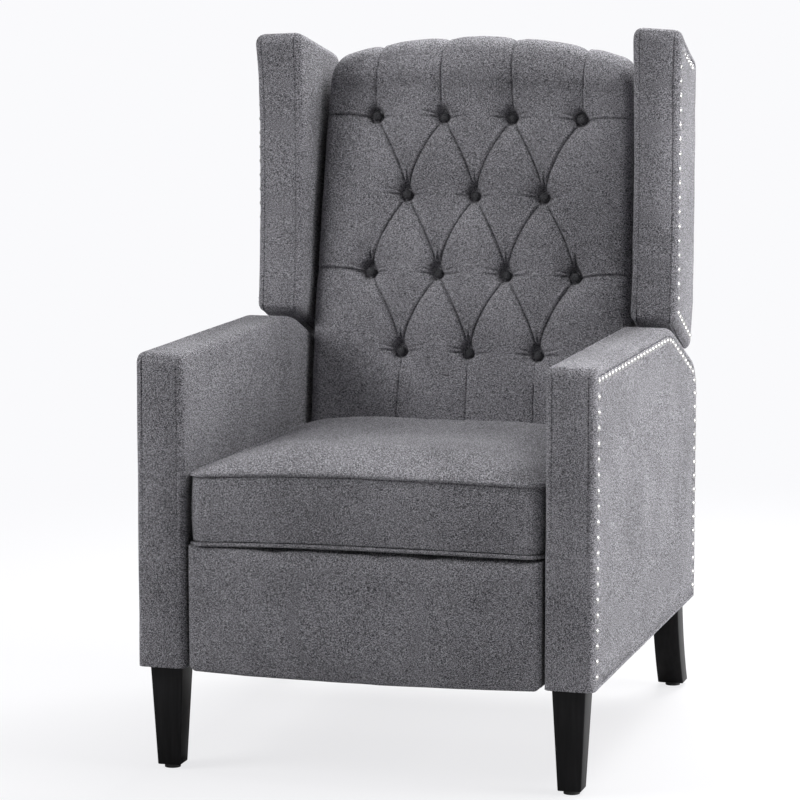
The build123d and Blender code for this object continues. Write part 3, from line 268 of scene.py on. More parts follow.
def sew_strip(piece, places):
    """Press a sewn line along the boxing strip at each of some places across it."""
    for place in places:

        def on_seam(vertex):
            on_strip = abs(vertex.normal.x) < 0.5 and not vertex.is_boundary
            return on_strip and abs(vertex.co.x - place) < 0.0001

        for x in (place - STRIP_SEAM_WIDTH, place, place + STRIP_SEAM_WIDTH):
            cut((x, 0, 0), (1, 0, 0))
        pick(piece, "VERT", on_seam)
        bpy.ops.transform.shrink_fatten(value=-STRIP_SEAM_DEPTH)


def slice_up(piece, axis, start, end, step):
    """Cut the whole piece by evenly spaced planes square to an axis."""
    normal = [0, 0, 0]
    normal[axis] = 1
    for i in range(1, round((end - start) / step)):
        point = [0, 0, 0]
        point[axis] = start + i * step
        cut(point, normal)


def swelled(inside, margin, run):
    """The share of a swell reached at a distance inside an edge, once past a flat margin."""
    return 1 - math.exp(-(inside - margin) / run)


def soften(piece, amount, grain):
    """Let the padding rise and fall a little along the surface, as stuffed cloth does."""
    deselect()
    normals = [v.normal.copy() for v in piece.data.vertices]
    for vertex, normal in zip(piece.data.vertices, normals):
        fine = noise.noise(vertex.co / grain * 2.3 + Vector((7, 3, 5)))
        wave = noise.noise(vertex.co / grain) + 0.5 * fine
        vertex.co += normal * wave * amount


def finish(piece, look, angle=50):
    """Smooth shading below an angle, and one material."""
    take(piece)
    bpy.ops.object.shade_smooth_by_angle(angle=math.radians(angle))
    piece.data.materials.clear()
    piece.data.materials.append(look)


def mirrored(piece, name):
    """A copy on the chair's other side, with its own mesh."""
    copy = piece.copy()
    copy.data = piece.data.copy()
    copy.name = name
    bpy.context.scene.collection.objects.link(copy)
    copy.data.transform(Matrix.Scale(-1, 4, (1, 0, 0)))
    copy.data.flip_normals()
    return copy


def make_arm():
    """The right arm's padding: a block cut to the slope, rounded, sewn and swelled."""
    arm = box_piece("right_arm_padding", ARM_LOW, ARM_HIGH)
    edit(arm)
    bend_y = ARM_HIGH.y - (ARM_HIGH.z - ARM_REAR_TOP_Z) / math.tan(ARM_SLOPE)
    cut((0, bend_y, ARM_HIGH.z), (0, math.sin(ARM_SLOPE), math.cos(ARM_SLOPE)), away=True)
    round_corner(arm, ARM_LOW.y, ARM_HIGH.z, ARM_NOSE_RADIUS, math.pi / 2, 7)
    round_corner(arm, bend_y, ARM_HIGH.z, ARM_BEND_RADIUS, ARM_SLOPE, 10)
    round_corner(arm, ARM_HIGH.y, ARM_REAR_TOP_Z, ARM_REAR_RADIUS, math.pi / 2 - ARM_SLOPE, 12)
    pick(arm, "FACE", lambda f: f.normal.z < -0.9)
    bpy.ops.mesh.delete(type="ONLY_FACE")
    round_sides(arm, SIDE_ROUND, 5)
    sew_panel(arm)
    sew_strip(arm, (ARM_LOW.x + ARM_STRIP_SEAM_IN, ARM_HIGH.x - ARM_STRIP_SEAM_IN))
    slice_up(arm, 1, ARM_LOW.y, ARM_HIGH.y, ARM_STEP)
    slice_up(arm, 2, ARM_LOW.z, ARM_HIGH.z, ARM_STEP)
    pick(arm, "EDGE", lambda e: e.is_boundary)
    bpy.ops.mesh.edge_face_add()
    deselect()
    for vertex in arm.data.vertices:
        inside = min(
            vertex.co.y - ARM_LOW.y,
            ARM_HIGH.y - vertex.co.y,
            vertex.co.z - ARM_LOW.z,
            ARM_HIGH.z - vertex.co.z - max(0, vertex.co.y - bend_y) * math.tan(ARM_SLOPE),
        )
        if vertex.co.x > ARM_HIGH.x - 0.0002 and inside > 0.026:
            vertex.co.x += ARM_OUTER_SWELL * swelled(inside, 0.026, ARM_SWELL_RUN)
        if vertex.co.x < ARM_LOW.x + 0.0002 and inside > 0.02:
            vertex.co.x -= ARM_INNER_SWELL * swelled(inside, 0.02, ARM_SWELL_RUN)
        if vertex.co.y < ARM_LOW.y + 0.002:
            across = (vertex.co.x - PADDING_MIDDLE_X) / PADDING_HALF
            vertex.co.y -= ARM_FRONT_SWELL * math.cos(across * math.pi / 2)
    soften(arm, 0.0005, 0.07)
    finish(arm, linen)
    return arm


right_arm = make_arm()
left_arm = mirrored(right_arm, "left_arm_padding")
for side, arm in (("right", right_arm), ("left", left_arm)):
    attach(arm, "base")
    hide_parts(f"{side}_arm_cover")

# ---- Nail heads --------------------------------------------------------------
# Polished nickel upholstery nails with low domed heads, driven in a single spaced row round the
# outer face of each arm and along the bottom, front and top of each wing.


def metal(name, colour, roughness, scratch=90, depth=0.00005):
    """Bare or plated metal with fine wear in its finish."""
    made, shader, place, node = material(name, roughness=roughness, metallic=1.0)
    wear = node("TexNoise", {"Vector": place, "Scale": scratch, "Detail": 6, "Roughness": 0.7})[0]
    dark = tuple(0.8 * part for part in colour[:3]) + (1,)
    join(ramp(node, wear, [(0.3, dark), (0.7, colour)]), shader.inputs["Base Color"])
    low = max(roughness - 0.08, 0.03)
    spread = node("MapRange", {0: wear, 3: low, 4: roughness + 0.08})[0]
    join(spread, shader.inputs["Roughness"])
    join(node("Bump", {"Height": wear, "Distance": depth})[0], shader.inputs["Normal"])
    return made


def paint_nodes(look, *names):
    """Give carried-over pieces a finish."""
    for name in names:
        piece = frame["nodes"][name]
        piece.data.materials.clear()
        piece.data.materials.append(look)


nickel = metal("polished_nickel", (0.66, 0.65, 0.64, 1), 0.20, scratch=400, depth=0.00002)
for name in ("arm_nails", "wing_nails"):
    finish(frame["nodes"][name], nickel)

# ---- Legs --------------------------------------------------------------------
# Solid wood legs stained black with a satin lacquer: the front pair tapers square to the foot, the
# rear pair sweeps back as a sabre. Each is bolted up into its arm's post and stands on a nylon glide.


def grained(name, roughness, fineness, detail, breakup, tones, relief):
    """A look whose one noise, as fine as given along each axis, gives the tones and the relief."""
    made, shader, place, node = material(name, roughness=roughness)
    spot = node("Mapping", {"Vector": place, "Scale": fineness})[0]
    grain = node("TexNoise", {"Vector": spot, "Scale": 1, "Detail": detail, "Roughness": breakup})[0]
    join(ramp(node, grain, tones), shader.inputs["Base Color"])
    join(node("Bump", {"Height": grain, "Distance": relief})[0], shader.inputs["Normal"])
    return made, shader, node, grain


STAIN_TONES = [(0.3, (0.004, 0.004, 0.0045, 1)), (0.7, (0.012, 0.0115, 0.0125, 1))]
STAINED = "black_stained_wood"
leg_wood, shader, node, grain = grained(STAINED, 0.38, (160, 160, 9), 5, 0.6, STAIN_TONES, 0.00012)
join(node("MapRange", {0: grain, 3: 0.32, 4: 0.46})[0], shader.inputs["Roughness"])
shader.inputs["Specular IOR Level"].default_value = 0.16
FRONT_LEG_TOP, FRONT_LEG_FOOT = 0.050, 0.035
REAR_LEG_DEPTH, REAR_LEG_SWEEP, REAR_LEG_BEND = 0.045, 0.057, 0.009
REAR_LEG_SLIMMING = 7 / 45
LEG_EDGE = 0.0018


def make_front_leg():
    """A square post that tapers evenly to its foot."""
    low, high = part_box("right_front_leg")
    leg = box_piece("right_front_foot", low, high)
    middle = (low + high) / 2
    edit(leg)
    pick(leg, "FACE", lambda f: f.normal.z < -0.9)
    taper = FRONT_LEG_FOOT / FRONT_LEG_TOP
    bpy.ops.transform.resize(value=(taper, taper, 1), center_override=(middle.x, middle.y, low.z))
    bpy.ops.mesh.select_all(action="SELECT")
    bevel(LEG_EDGE, 3)
    finish(leg, leg_wood, 40)
    return leg


def make_rear_leg():
    """A post sawn to a sabre curve, slimmer at its foot."""
    low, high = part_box("right_rear_leg")
    leg = box_piece("right_rear_foot", low, (high.x, low.y + REAR_LEG_DEPTH, high.z))
    edit(leg)
    slice_up(leg, 2, low.z, high.z, 0.0152)
    deselect()
    for vertex in leg.data.vertices:
        drop = (high.z - vertex.co.z) / (high.z - low.z)
        sweep = REAR_LEG_SWEEP * drop - REAR_LEG_BEND * 4 * drop * (1 - drop)
        slim = 1 - drop * REAR_LEG_SLIMMING
        vertex.co.y = low.y + (vertex.co.y - low.y) * slim + sweep
    edit(leg)
    pick(leg, "EDGE", lambda e: len(e.link_faces) == 2 and e.calc_face_angle(0) > 0.7)
    bevel(LEG_EDGE, 3)
    finish(leg, leg_wood, 40)
    return leg


for end, leg in (("front", make_front_leg()), ("rear", make_rear_leg())):
    other = mirrored(leg, f"left_{end}_foot")
    for side, piece in (("right", leg), ("left", other)):
        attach(piece, "base")
        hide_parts(f"{side}_{end}_leg")

NYLON_TONES = [(0.3, (0.012, 0.012, 0.012, 1)), (0.7, (0.03, 0.03, 0.031, 1))]
nylon = grained("black_nylon", 0.55, (700, 700, 700), 3, 0.5, NYLON_TONES, 0.0001)[0]
paint_nodes(nylon, "leg_glides", "hinge_bushes")

# ---- Fixed frame of the base -------------------------------------------------
# Kiln-dried hardwood posts, rails and stretchers, glued and screwed, hidden in the arms or seen only
# from below and behind.
WOOD_TONES = [
    (0.3, (0.36, 0.23, 0.12, 1)), (0.55, (0.52, 0.37, 0.21, 1)), (0.75, (0.62, 0.47, 0.30, 1)),
]
frame_wood = grained("raw_hardwood", 0.7, (14, 60, 160), 6, 0.62, WOOD_TONES, 0.0002)[0]
paint_nodes(
    frame_wood, "arm_front_posts", "arm_rear_posts", "arm_top_rails", "arm_bottom_rails",
    "middle_stretcher", "rear_stretcher",
)
zinc = metal("zinc_plated_steel", (0.50, 0.50, 0.51, 1), 0.34)
paint_nodes(zinc, "leg_bolts", "track_screws", "right_seat_track", "left_seat_track")

# ---- Seat frame --------------------------------------------------------------
# A hardwood box frame on steel runners, with elastic webbing stretched front to rear and a felt deck
# over it.
WEBBING_TONES = [(0.3, (0.02, 0.02, 0.022, 1)), (0.8, (0.10, 0.10, 0.11, 1))]
FELT_TONES = [(0.3, (0.10, 0.10, 0.10, 1)), (0.7, (0.26, 0.25, 0.25, 1))]
RIBS_TURN = 1600


def webbing_look():
    """Black elastic webbing, ribbed along its length."""
    made, shader, place, node = material("elastic_webbing", roughness=0.8)
    axes = node("SeparateXYZ", {0: place})
    turned = node("Math", {0: axes["X"], 1: RIBS_TURN}, operation="MULTIPLY")[0]
    ribs = node("Math", {0: turned}, operation="SINE")[0]
    thread = node("TexNoise", {"Vector": place, "Scale": 900, "Detail": 2})[0]
    mixed = node("Math", {0: ribs, 1: 0.15, 2: thread}, operation="MULTIPLY_ADD")[0]
    join(ramp(node, mixed, WEBBING_TONES), shader.inputs["Base Color"])
    join(node("Bump", {"Height": mixed, "Distance": 0.0006})[0], shader.inputs["Normal"])
    return made


paint_nodes(
    frame_wood, "seat_front_rail", "seat_middle_rail", "seat_rear_rail", "right_seat_side_rail",
    "left_seat_side_rail",
)
paint_nodes(zinc, "seat_runners", "hinge_plates", "hinge_pins", "seat_link_bolts")
paint_nodes(webbing_look(), "seat_webbing", "back_webbing")
felt = grained("needled_felt", 0.95, (500, 500, 500), 5, 0.75, FELT_TONES, 0.0008)[0]
paint_nodes(felt, "seat_deck")

# ---- Seat cushion ------------------------------------------------------------
# A box cushion of foam in wadding, with a boxing strip between two piped seams and a crowned top that
# runs back under the tufted back. Its right front corner is stuffed a little higher.
SEAT_LOW, SEAT_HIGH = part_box("seat_cushion")
SEAT_HALF = 0.265
SEAT_SEAM_Z = 0.441
SEAT_BOTTOM_Z = SEAT_LOW.z
SEAT_HEIGHT = SEAT_SEAM_Z - SEAT_BOTTOM_Z
SEAT_BOW = 0.022
SEAT_FRONT_CORNER, SEAT_REAR_CORNER = 0.026, 0.013
SEAT_STEP_X, SEAT_STEP_Y = 2 * SEAT_HALF / 46, 0.575 / 50
SEAT_CROWN, CROWN_SIDE_RUN, CROWN_FRONT_RUN = 0.023, 0.030, 0.040
BOXING_FRONT_SWELL, BOXING_SIDE_SWELL = 0.0050, 0.0028
SEAT_TOP_ARCH, SEAT_FOOT_ARCH, SEAT_ARCH_RUN = 0.014, 0.010, 0.25
SEAT_LIFT = 0.005
CORNER_LIFT, CORNER_TOP_LIFT = 0.005, 0.002
PIPING_RADIUS, PIPING_OUTSET = 0.0030, 1.005
SEAM_MARGIN, SEAM_TUCK = 0.0040, 0.0040
HELD_SHARE = 0.16
STUFFING_FRAMES = 20


def seat_bow(x):
    """How far the cushion's front curves forward of its corners."""
    return SEAT_BOW * (1 - (x / SEAT_HALF) ** 2)


def make_seat_cushion():
    """The cushion before it is stuffed: rounded corners, seam margins, crown, bow and arch."""
    front = ARMS_FRONT_Y + 0.002
    rear = SEAT_HIGH.y
    low, high = (-SEAT_HALF, front, SEAT_BOTTOM_Z), (SEAT_HALF, rear, SEAT_SEAM_Z)
    cushion = box_piece("seat_cushion_cover", low, high)

    def upright(edge, y):
        tall = abs(edge.verts[0].co.z - edge.verts[1].co.z) > 0.05
        return tall and abs(middle_of(edge).y - y) < 0.001

    edit(cushion)
    pick(cushion, "EDGE", lambda e: upright(e, front))
    bevel(SEAT_FRONT_CORNER, 8)
    pick(cushion, "EDGE", lambda e: upright(e, rear))
    bevel(SEAT_REAR_CORNER, 5)
    for side in (-1, 1):
        pick(cushion, "FACE", lambda f: f.normal.z * side > 0.99)
        bpy.ops.mesh.inset(thickness=SEAM_MARGIN, depth=0)
    for level in (SEAT_BOTTOM_Z + SEAM_MARGIN, SEAT_SEAM_Z - SEAM_MARGIN):
        cut((0, 0, level), (0, 0, 1))
    slice_up(cushion, 0, -SEAT_HALF, SEAT_HALF, SEAT_STEP_X)
    slice_up(cushion, 1, front, rear, SEAT_STEP_Y)
    slice_up(cushion, 2, SEAT_BOTTOM_Z, SEAT_SEAM_Z, SEAT_HEIGHT / 12)
    deselect()
    for vertex in cushion.data.vertices:
        x, y, z = vertex.co
        to_side = max(SEAT_HALF - abs(x), 0)
        to_front = max(y - front, 0)
        to_rear = max(rear - y, 0)
        share = (z - SEAT_BOTTOM_Z) / SEAT_HEIGHT
        if share > 0.999:
            rise = swelled(to_side, 0, CROWN_SIDE_RUN) * swelled(to_front, 0, CROWN_FRONT_RUN)
            rise *= swelled(to_rear, 0, CROWN_SIDE_RUN)
            vertex.co.z += SEAT_CROWN * rise
        if 0.001 < share < 0.999:
            outward = Vector((vertex.normal.x, vertex.normal.y, 0)).normalized()
            reach = BOXING_FRONT_SWELL if abs(outward.y) > 0.7 else BOXING_SIDE_SWELL
            swell = 4 * share * (1 - share)
            vertex.co += outward * reach * swell
        near_front = math.exp(-((to_front / SEAT_ARCH_RUN) ** 2))
        middle = 1 - (x / SEAT_HALF) ** 2
        right = max(0, x / SEAT_HALF) ** 2
        vertex.co.z += (SEAT_TOP_ARCH * share + SEAT_FOOT_ARCH * (1 - share)) * middle * near_front
        corner = (CORNER_LIFT + CORNER_TOP_LIFT * share) * right
        vertex.co.z += (SEAT_LIFT * share + corner) * near_front
        vertex.co.y -= seat_bow(x) * max(0, 1 - to_front / 0.3) ** 1.5
    return cushion


def stuff(piece, held, spare, pressure, most, sewn=()):
    """Let a cover swell between what holds it, by a short cloth simulation with a cap on each way."""
    take(piece)
    before = [vertex.co.copy() for vertex in piece.data.vertices]
    seams = piece.vertex_groups.new(name="seams")
    seams.add([v.index for v in piece.data.vertices if held(v) or v.index in sewn], 1.0, "REPLACE")
    cover = piece.modifiers.new("stuffed_cover", "CLOTH")
    cover.settings.vertex_group_mass = seams.name
    cover.settings.shrink_min = -spare
    cover.settings.use_pressure = True
    cover.settings.uniform_pressure_force = pressure
    cover.settings.effector_weights.gravity = 0
    cover.settings.bending_stiffness = 2
    cover.point_cache.frame_end = STUFFING_FRAMES
    for step in range(1, STUFFING_FRAMES + 1):
        bpy.context.scene.frame_set(step)
    bpy.ops.object.modifier_apply(modifier=cover.name)
    bpy.context.scene.frame_set(1)
    for vertex, start in zip(piece.data.vertices, before):
        way = vertex.co - start
        if way.length > most:
            vertex.co = start + way * (most / way.length)
    piece.vertex_groups.clear()


def piping(source, name, test, radius):
    """A cord covered in the same cloth along a loop of a cushion's edges."""
    edit(source)
    pick(source, "EDGE", test)
    bpy.ops.mesh.duplicate()
    middle = (SEAT_LOW + SEAT_HIGH) / 2
    bpy.ops.transform.resize(value=(PIPING_OUTSET, PIPING_OUTSET, 1), center_override=(0, middle.y, 0))
    before = set(bpy.data.objects)
    bpy.ops.mesh.separate(type="SELECTED")
    cord = (set(bpy.data.objects) - before).pop()
    take(cord)
    cord.name = name
    bpy.ops.object.convert(target="CURVE")
    cord.data.bevel_depth = radius
    cord.data.bevel_resolution = 3
    bpy.ops.object.convert(target="MESH")
    finish(cord, linen)
    return cord


def seam_edge(level):
    """True for the edges between the boxing strip and the cushion's top (1) or underside (0)."""

    def test(edge):
        """One face upright, one lying, at the seam's height."""
        upright = sum(1 for face in edge.link_faces if abs(face.normal.z) < 0.6)
        seam = SEAT_SEAM_Z - 0.002 if level else SEAT_BOTTOM_Z + SEAT_FOOT_ARCH + 0.002
        place = middle_of(edge).z
        return upright == 1 and len(edge.link_faces) == 2 and (place > seam if level else place < seam)

    return test


def held_seat(vertex):
    """True for what the cushion's seams, its sides and its underside hold."""
    x, y, z = vertex.co
    share = (z - SEAT_BOTTOM_Z) / SEAT_HEIGHT
    on_side = abs(x) > SEAT_HALF - 0.004 or vertex.normal.y > 0.75
    on_front = y < ARMS_FRONT_Y + 0.03 - seat_bow(x)
    low = share < HELD_SHARE + SEAT_FOOT_ARCH / SEAT_HEIGHT * on_front
    return on_side or low or vertex.normal.z < -0.5


seat_cushion = make_seat_cushion()
sewn = set()
for level in (0, 1):
    edit(seat_cushion)
    pick(seat_cushion, "EDGE", seam_edge(level))
    deselect()
    sewn |= {v.index for v in seat_cushion.data.vertices if v.select}
stuff(seat_cushion, held_seat, spare=0.006, pressure=3.0, most=0.010, sewn=sewn)
top_piping = piping(seat_cushion, "seat_top_piping", seam_edge(1), PIPING_RADIUS)
bottom_piping = piping(seat_cushion, "seat_bottom_piping", seam_edge(0), PIPING_RADIUS)
for level in (0, 1):
    edit(seat_cushion)
    pick(seat_cushion, "EDGE", seam_edge(level))
    bpy.ops.transform.shrink_fatten(value=-SEAM_TUCK)
soften(seat_cushion, 0.0007, 0.05)
finish(seat_cushion, linen)
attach(seat_cushion, "seat")
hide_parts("seat_cushion")
for cord in (top_piping, bottom_piping):
    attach(cord, "seat")

# ---- Tufted back -------------------------------------------------------------
# A deep foam back under one piece of cloth, drawn in by fourteen buttons. The spare cloth lies in
# folded pleats from button to button, over the crest, to the sides and down to the seat.
BACK_LEAN = math.radians(8.5)
BACK_PLANE_Y = ARMS_FRONT_Y + 0.610
BACK_PLANE_Z = 0.450
BACK_HALF = 0.262
BACK_FRONT = 0.027
BACK_SIDE_FRONT = 0.017
BACK_REST = 0.029
BACK_LOW_Z = 0.4255
CREST_Z, CREST_CORNER_Z = 1.066, 1.040
ROLL_FRONT_Z = 0.985
SIDE_DRAW, SIDE_DRAW_Z, SIDE_DRAW_RUN = 0.009, 0.62, 0.34
CREST_DRAW, CREST_DRAW_Z = 0.017, 0.955
DRAW_INNER_X = 0.180
ROLL_REAR_Y, ROLL_REAR_Z = ARMS_FRONT_Y + 0.778, 1.0145
ROLL_FOOT_Z = 1.0004
BUTTON_COLUMN, BUTTON_ROW, BUTTON_FIRST = 0.113, 0.1265, 0.112
BACK_FILLET = 0.020
BACK_ROWS, BACK_COLUMNS = 620, 440
SMOOTHING = 9
PLEAT_SHOULDER, PLEAT_SHOULDER_WIDTH = 0.15, 0.015
SLIT_DEPTH, SLIT_WIDTH = 0.0024, 0.0009
LIP_HEIGHT, LIP_PLACE, LIP_WIDTH = 0.0014, 0.0035, 0.0025
TUCK_DEPTH, TUCK_RUN = 0.0030, 0.0080
PIT_RADIUS, PIT_WALL, PIT_RIGHT, PIT_RISE = 0.0098, 0.0030, -0.0014, 0.0010
DIMPLE_SHARE, DIMPLE_RADIUS = 0.46, 0.028
PUCKERS = ((0.0060, 0.0, 0.03, 0.0018), (0.0034, 0.005, 0.22, 0.0015))
WEDGE_DEPTH, WEDGE_HEIGHT = 0.0130, 0.030
CREASE_DEPTH, CREASE_WIDTH, CREASE_LEANS = 0.0050, 0.0011, (-0.22, 0.02, 0.20)
NOTCH_DEPTH, NOTCH_WIDTH = 0.0022, 0.006


def leaned(x, behind, up):
    """The place this far behind the button plane and this far up it."""
    c, s = math.cos(BACK_LEAN), math.sin(BACK_LEAN)
    return Vector((x, BACK_PLANE_Y + behind * c + up * s, BACK_PLANE_Z - behind * s + up * c))


buttons = []
for row in range(4):
    count = 3 if row % 2 == 0 else 4
    for column in range(count):
        buttons.append(((column - (count - 1) / 2) * BUTTON_COLUMN, BUTTON_FIRST + row * BUTTON_ROW))


def back_profile():
    """Side view of the cushion's front surface, from its foot over the crest to its rear edge."""
    low_up = (BACK_LOW_Z - BACK_PLANE_Z) / math.cos(BACK_LEAN)
    high_up = (ROLL_FRONT_Z - BACK_PLANE_Z) / math.cos(BACK_LEAN)
    foot = leaned(0, -BACK_FRONT, low_up)
    shoulder = leaned(0, -BACK_FRONT, high_up)
    crest = Vector((0, (shoulder.y + ROLL_REAR_Y) / 2, CREST_Z))
    rear = Vector((0, ROLL_REAR_Y, ROLL_REAR_Z))
    a, b, c = (np.array((p.y, p.z)) for p in (shoulder, crest, rear))
    matrix = 2 * np.array((b - a, c - a))
    centre = np.linalg.solve(matrix, np.array((b @ b - a @ a, c @ c - a @ a)))
    radius = np.linalg.norm(a - centre)
    turn = [math.atan2(*(p - centre)[::-1]) for p in (a, c)]
    angles = np.linspace(turn[0] % (2 * math.pi), turn[1], 80)
    arc = centre + radius * np.stack((np.cos(angles), np.sin(angles)), 1)
    straight = np.linspace((foot.y, foot.z), (shoulder.y, shoulder.z), 280, endpoint=False)
    edge = np.stack((np.full(12, ROLL_REAR_Y), np.linspace(ROLL_REAR_Z, ROLL_FOOT_Z, 13)[1:]), 1)
    path = np.concatenate((straight, arc, edge))
    length = np.concatenate(((0,), np.cumsum(np.linalg.norm(np.diff(path, axis=0), axis=1))))
    even = np.linspace(0, length[-1], BACK_ROWS)
    path = np.stack([np.interp(even, length, path[:, i]) for i in (0, 1)], 1)
    padded = np.pad(path, ((SMOOTHING, SMOOTHING), (0, 0)), mode="edge")
    window = 2 * SMOOTHING + 1
    smooth = np.stack([np.convolve(padded[:, i], np.ones(window) / window, "valid") for i in (0, 1)], 1)
    smooth[:SMOOTHING], smooth[-SMOOTHING:] = path[:SMOOTHING], path[-SMOOTHING:]
    return smooth, even


def bell(distance, width, power=2):
    """One at no distance, falling away over a width."""
    return np.exp(-((distance / width) ** power))


def pleat_path(start, end, bend):
    """Points of a pleat that leaves the upper button sideways and drops straight into the lower."""
    t = np.linspace(0, 1, 24)
    sideways = (1 - bend) * t + bend * np.sin(t * math.pi / 2)
    return np.stack((start[0] + (end[0] - start[0]) * sideways, start[1] + (end[1] - start[1]) * t), 1)


def all_pleats(end_up):
    """Every pleat as points (x, distance up), with its share of the full depth."""
    lines = []
    t = np.linspace(0, 1, 32)
    top_row = BUTTON_FIRST + 3 * BUTTON_ROW
    for x, up in buttons:
        for side in (-1, 1):
            above = (x + side * BUTTON_COLUMN / 2, up + BUTTON_ROW)
            if any(math.dist(above, place) < 0.001 for place in buttons):
                lines.append((pleat_path(above, (x, up), 0.8), 1.0))
        if abs(x) > 1.4 * BUTTON_COLUMN:
            edge = math.copysign(BACK_HALF + 0.05, x)
            lines.append((np.stack((x + (edge - x) * t, up + 0.006 * np.sin(t * math.pi)), 1), 0.8))
        sway = np.sin(3 * t + 40 * x)
        if up > top_row - 0.001:
            lines.append((np.stack((x + 0.004 * sway, up + (end_up - up) * t), 1), 0.8))
        if up < BUTTON_FIRST + 0.001:
            lines.append((np.stack((x + 0.002 * sway, up - (up + 0.06) * t), 1), 0.8))
    return lines


def distance_to(path, x, up):
    """Distance from every surface point to a pleat's line, positive above or right of the line."""
    best = np.full(x.shape, 9.0)
    side = np.ones(x.shape)
    for (x0, u0), (x1, u1) in zip(path[:-1], path[1:]):
        dx, du = x1 - x0, u1 - u0
        t = np.clip(((x - x0) * dx + (up - u0) * du) / (dx * dx + du * du), 0, 1)
        far = np.hypot(x - x0 - t * dx, up - u0 - t * du)
        facing = np.sign(dx) if abs(dx) > 0.2 * abs(du) else -np.sign(du)
        turned = np.sign((up - u0) * dx - (x - x0) * du) * facing
        side = np.where(far < best, turned, side)
        best = np.minimum(best, far)
    return best * np.where(side == 0, 1, side)


def back_dents(x, up, end_up):
    """How deep the cloth lies under its full swell: pits at the buttons, pleats between them."""
    left = np.ones_like(x)
    slits = np.zeros_like(x)
    for line, weight in all_pleats(end_up):
        across = distance_to(line, x, up)
        far = np.abs(across)
        left *= 1 - PLEAT_SHOULDER * weight * bell(far, PLEAT_SHOULDER_WIDTH, 1.2)
        lip = LIP_HEIGHT * bell(across - LIP_PLACE, LIP_WIDTH)
        tuck = TUCK_DEPTH * np.exp(across / TUCK_RUN) * (across < 0)
        slits += weight * (SLIT_DEPTH * bell(far, SLIT_WIDTH) - lip + tuck)
    crest_share = np.clip((up - end_up + 0.20) / 0.06, 0, 1)
    for bx, bu in buttons:
        dx, du = x - bx, up - bu
        above = np.clip(du, 0, 1)
        r = np.hypot(dx, np.where(du > 0, du / 1.3, du))
        ring = np.hypot(dx - PIT_RIGHT, np.where(du > 0, du / 1.25, du) - PIT_RISE)
        left *= 1 - bell(np.maximum(ring - PIT_RADIUS, 0), PIT_WALL, 1.6)
        left *= 1 - DIMPLE_SHARE * bell(r, DIMPLE_RADIUS, 1.5)
        for side in (-1, 1):
            run = side * dx - 0.010
            reach = bell(np.maximum(run, 0), 0.018) * (run > -0.004)
            for depth, start, lean, width in PUCKERS:
                slits += depth * bell(du - start - lean * run, width) * reach
        if bu < BUTTON_FIRST + 2.9 * BUTTON_ROW:
            width = 0.0010 + 0.19 * np.maximum(WEDGE_HEIGHT - above, 0)
            slits += WEDGE_DEPTH * bell(dx, width) * np.clip(1.5 - above / 0.027, 0, 1) * (du > 0)
            for lean in CREASE_LEANS:
                crease = CREASE_DEPTH * bell(dx - lean * above, CREASE_WIDTH)
                slits += crease * np.clip(1.2 - above / 0.026, 0, 1) * (du > 0)
        else:
            slits += NOTCH_DEPTH * crest_share * bell(np.abs(dx), NOTCH_WIDTH, 1.3)
    return BACK_FRONT * (1 - left) + slits * np.clip(left * 2.2, 0, 1)


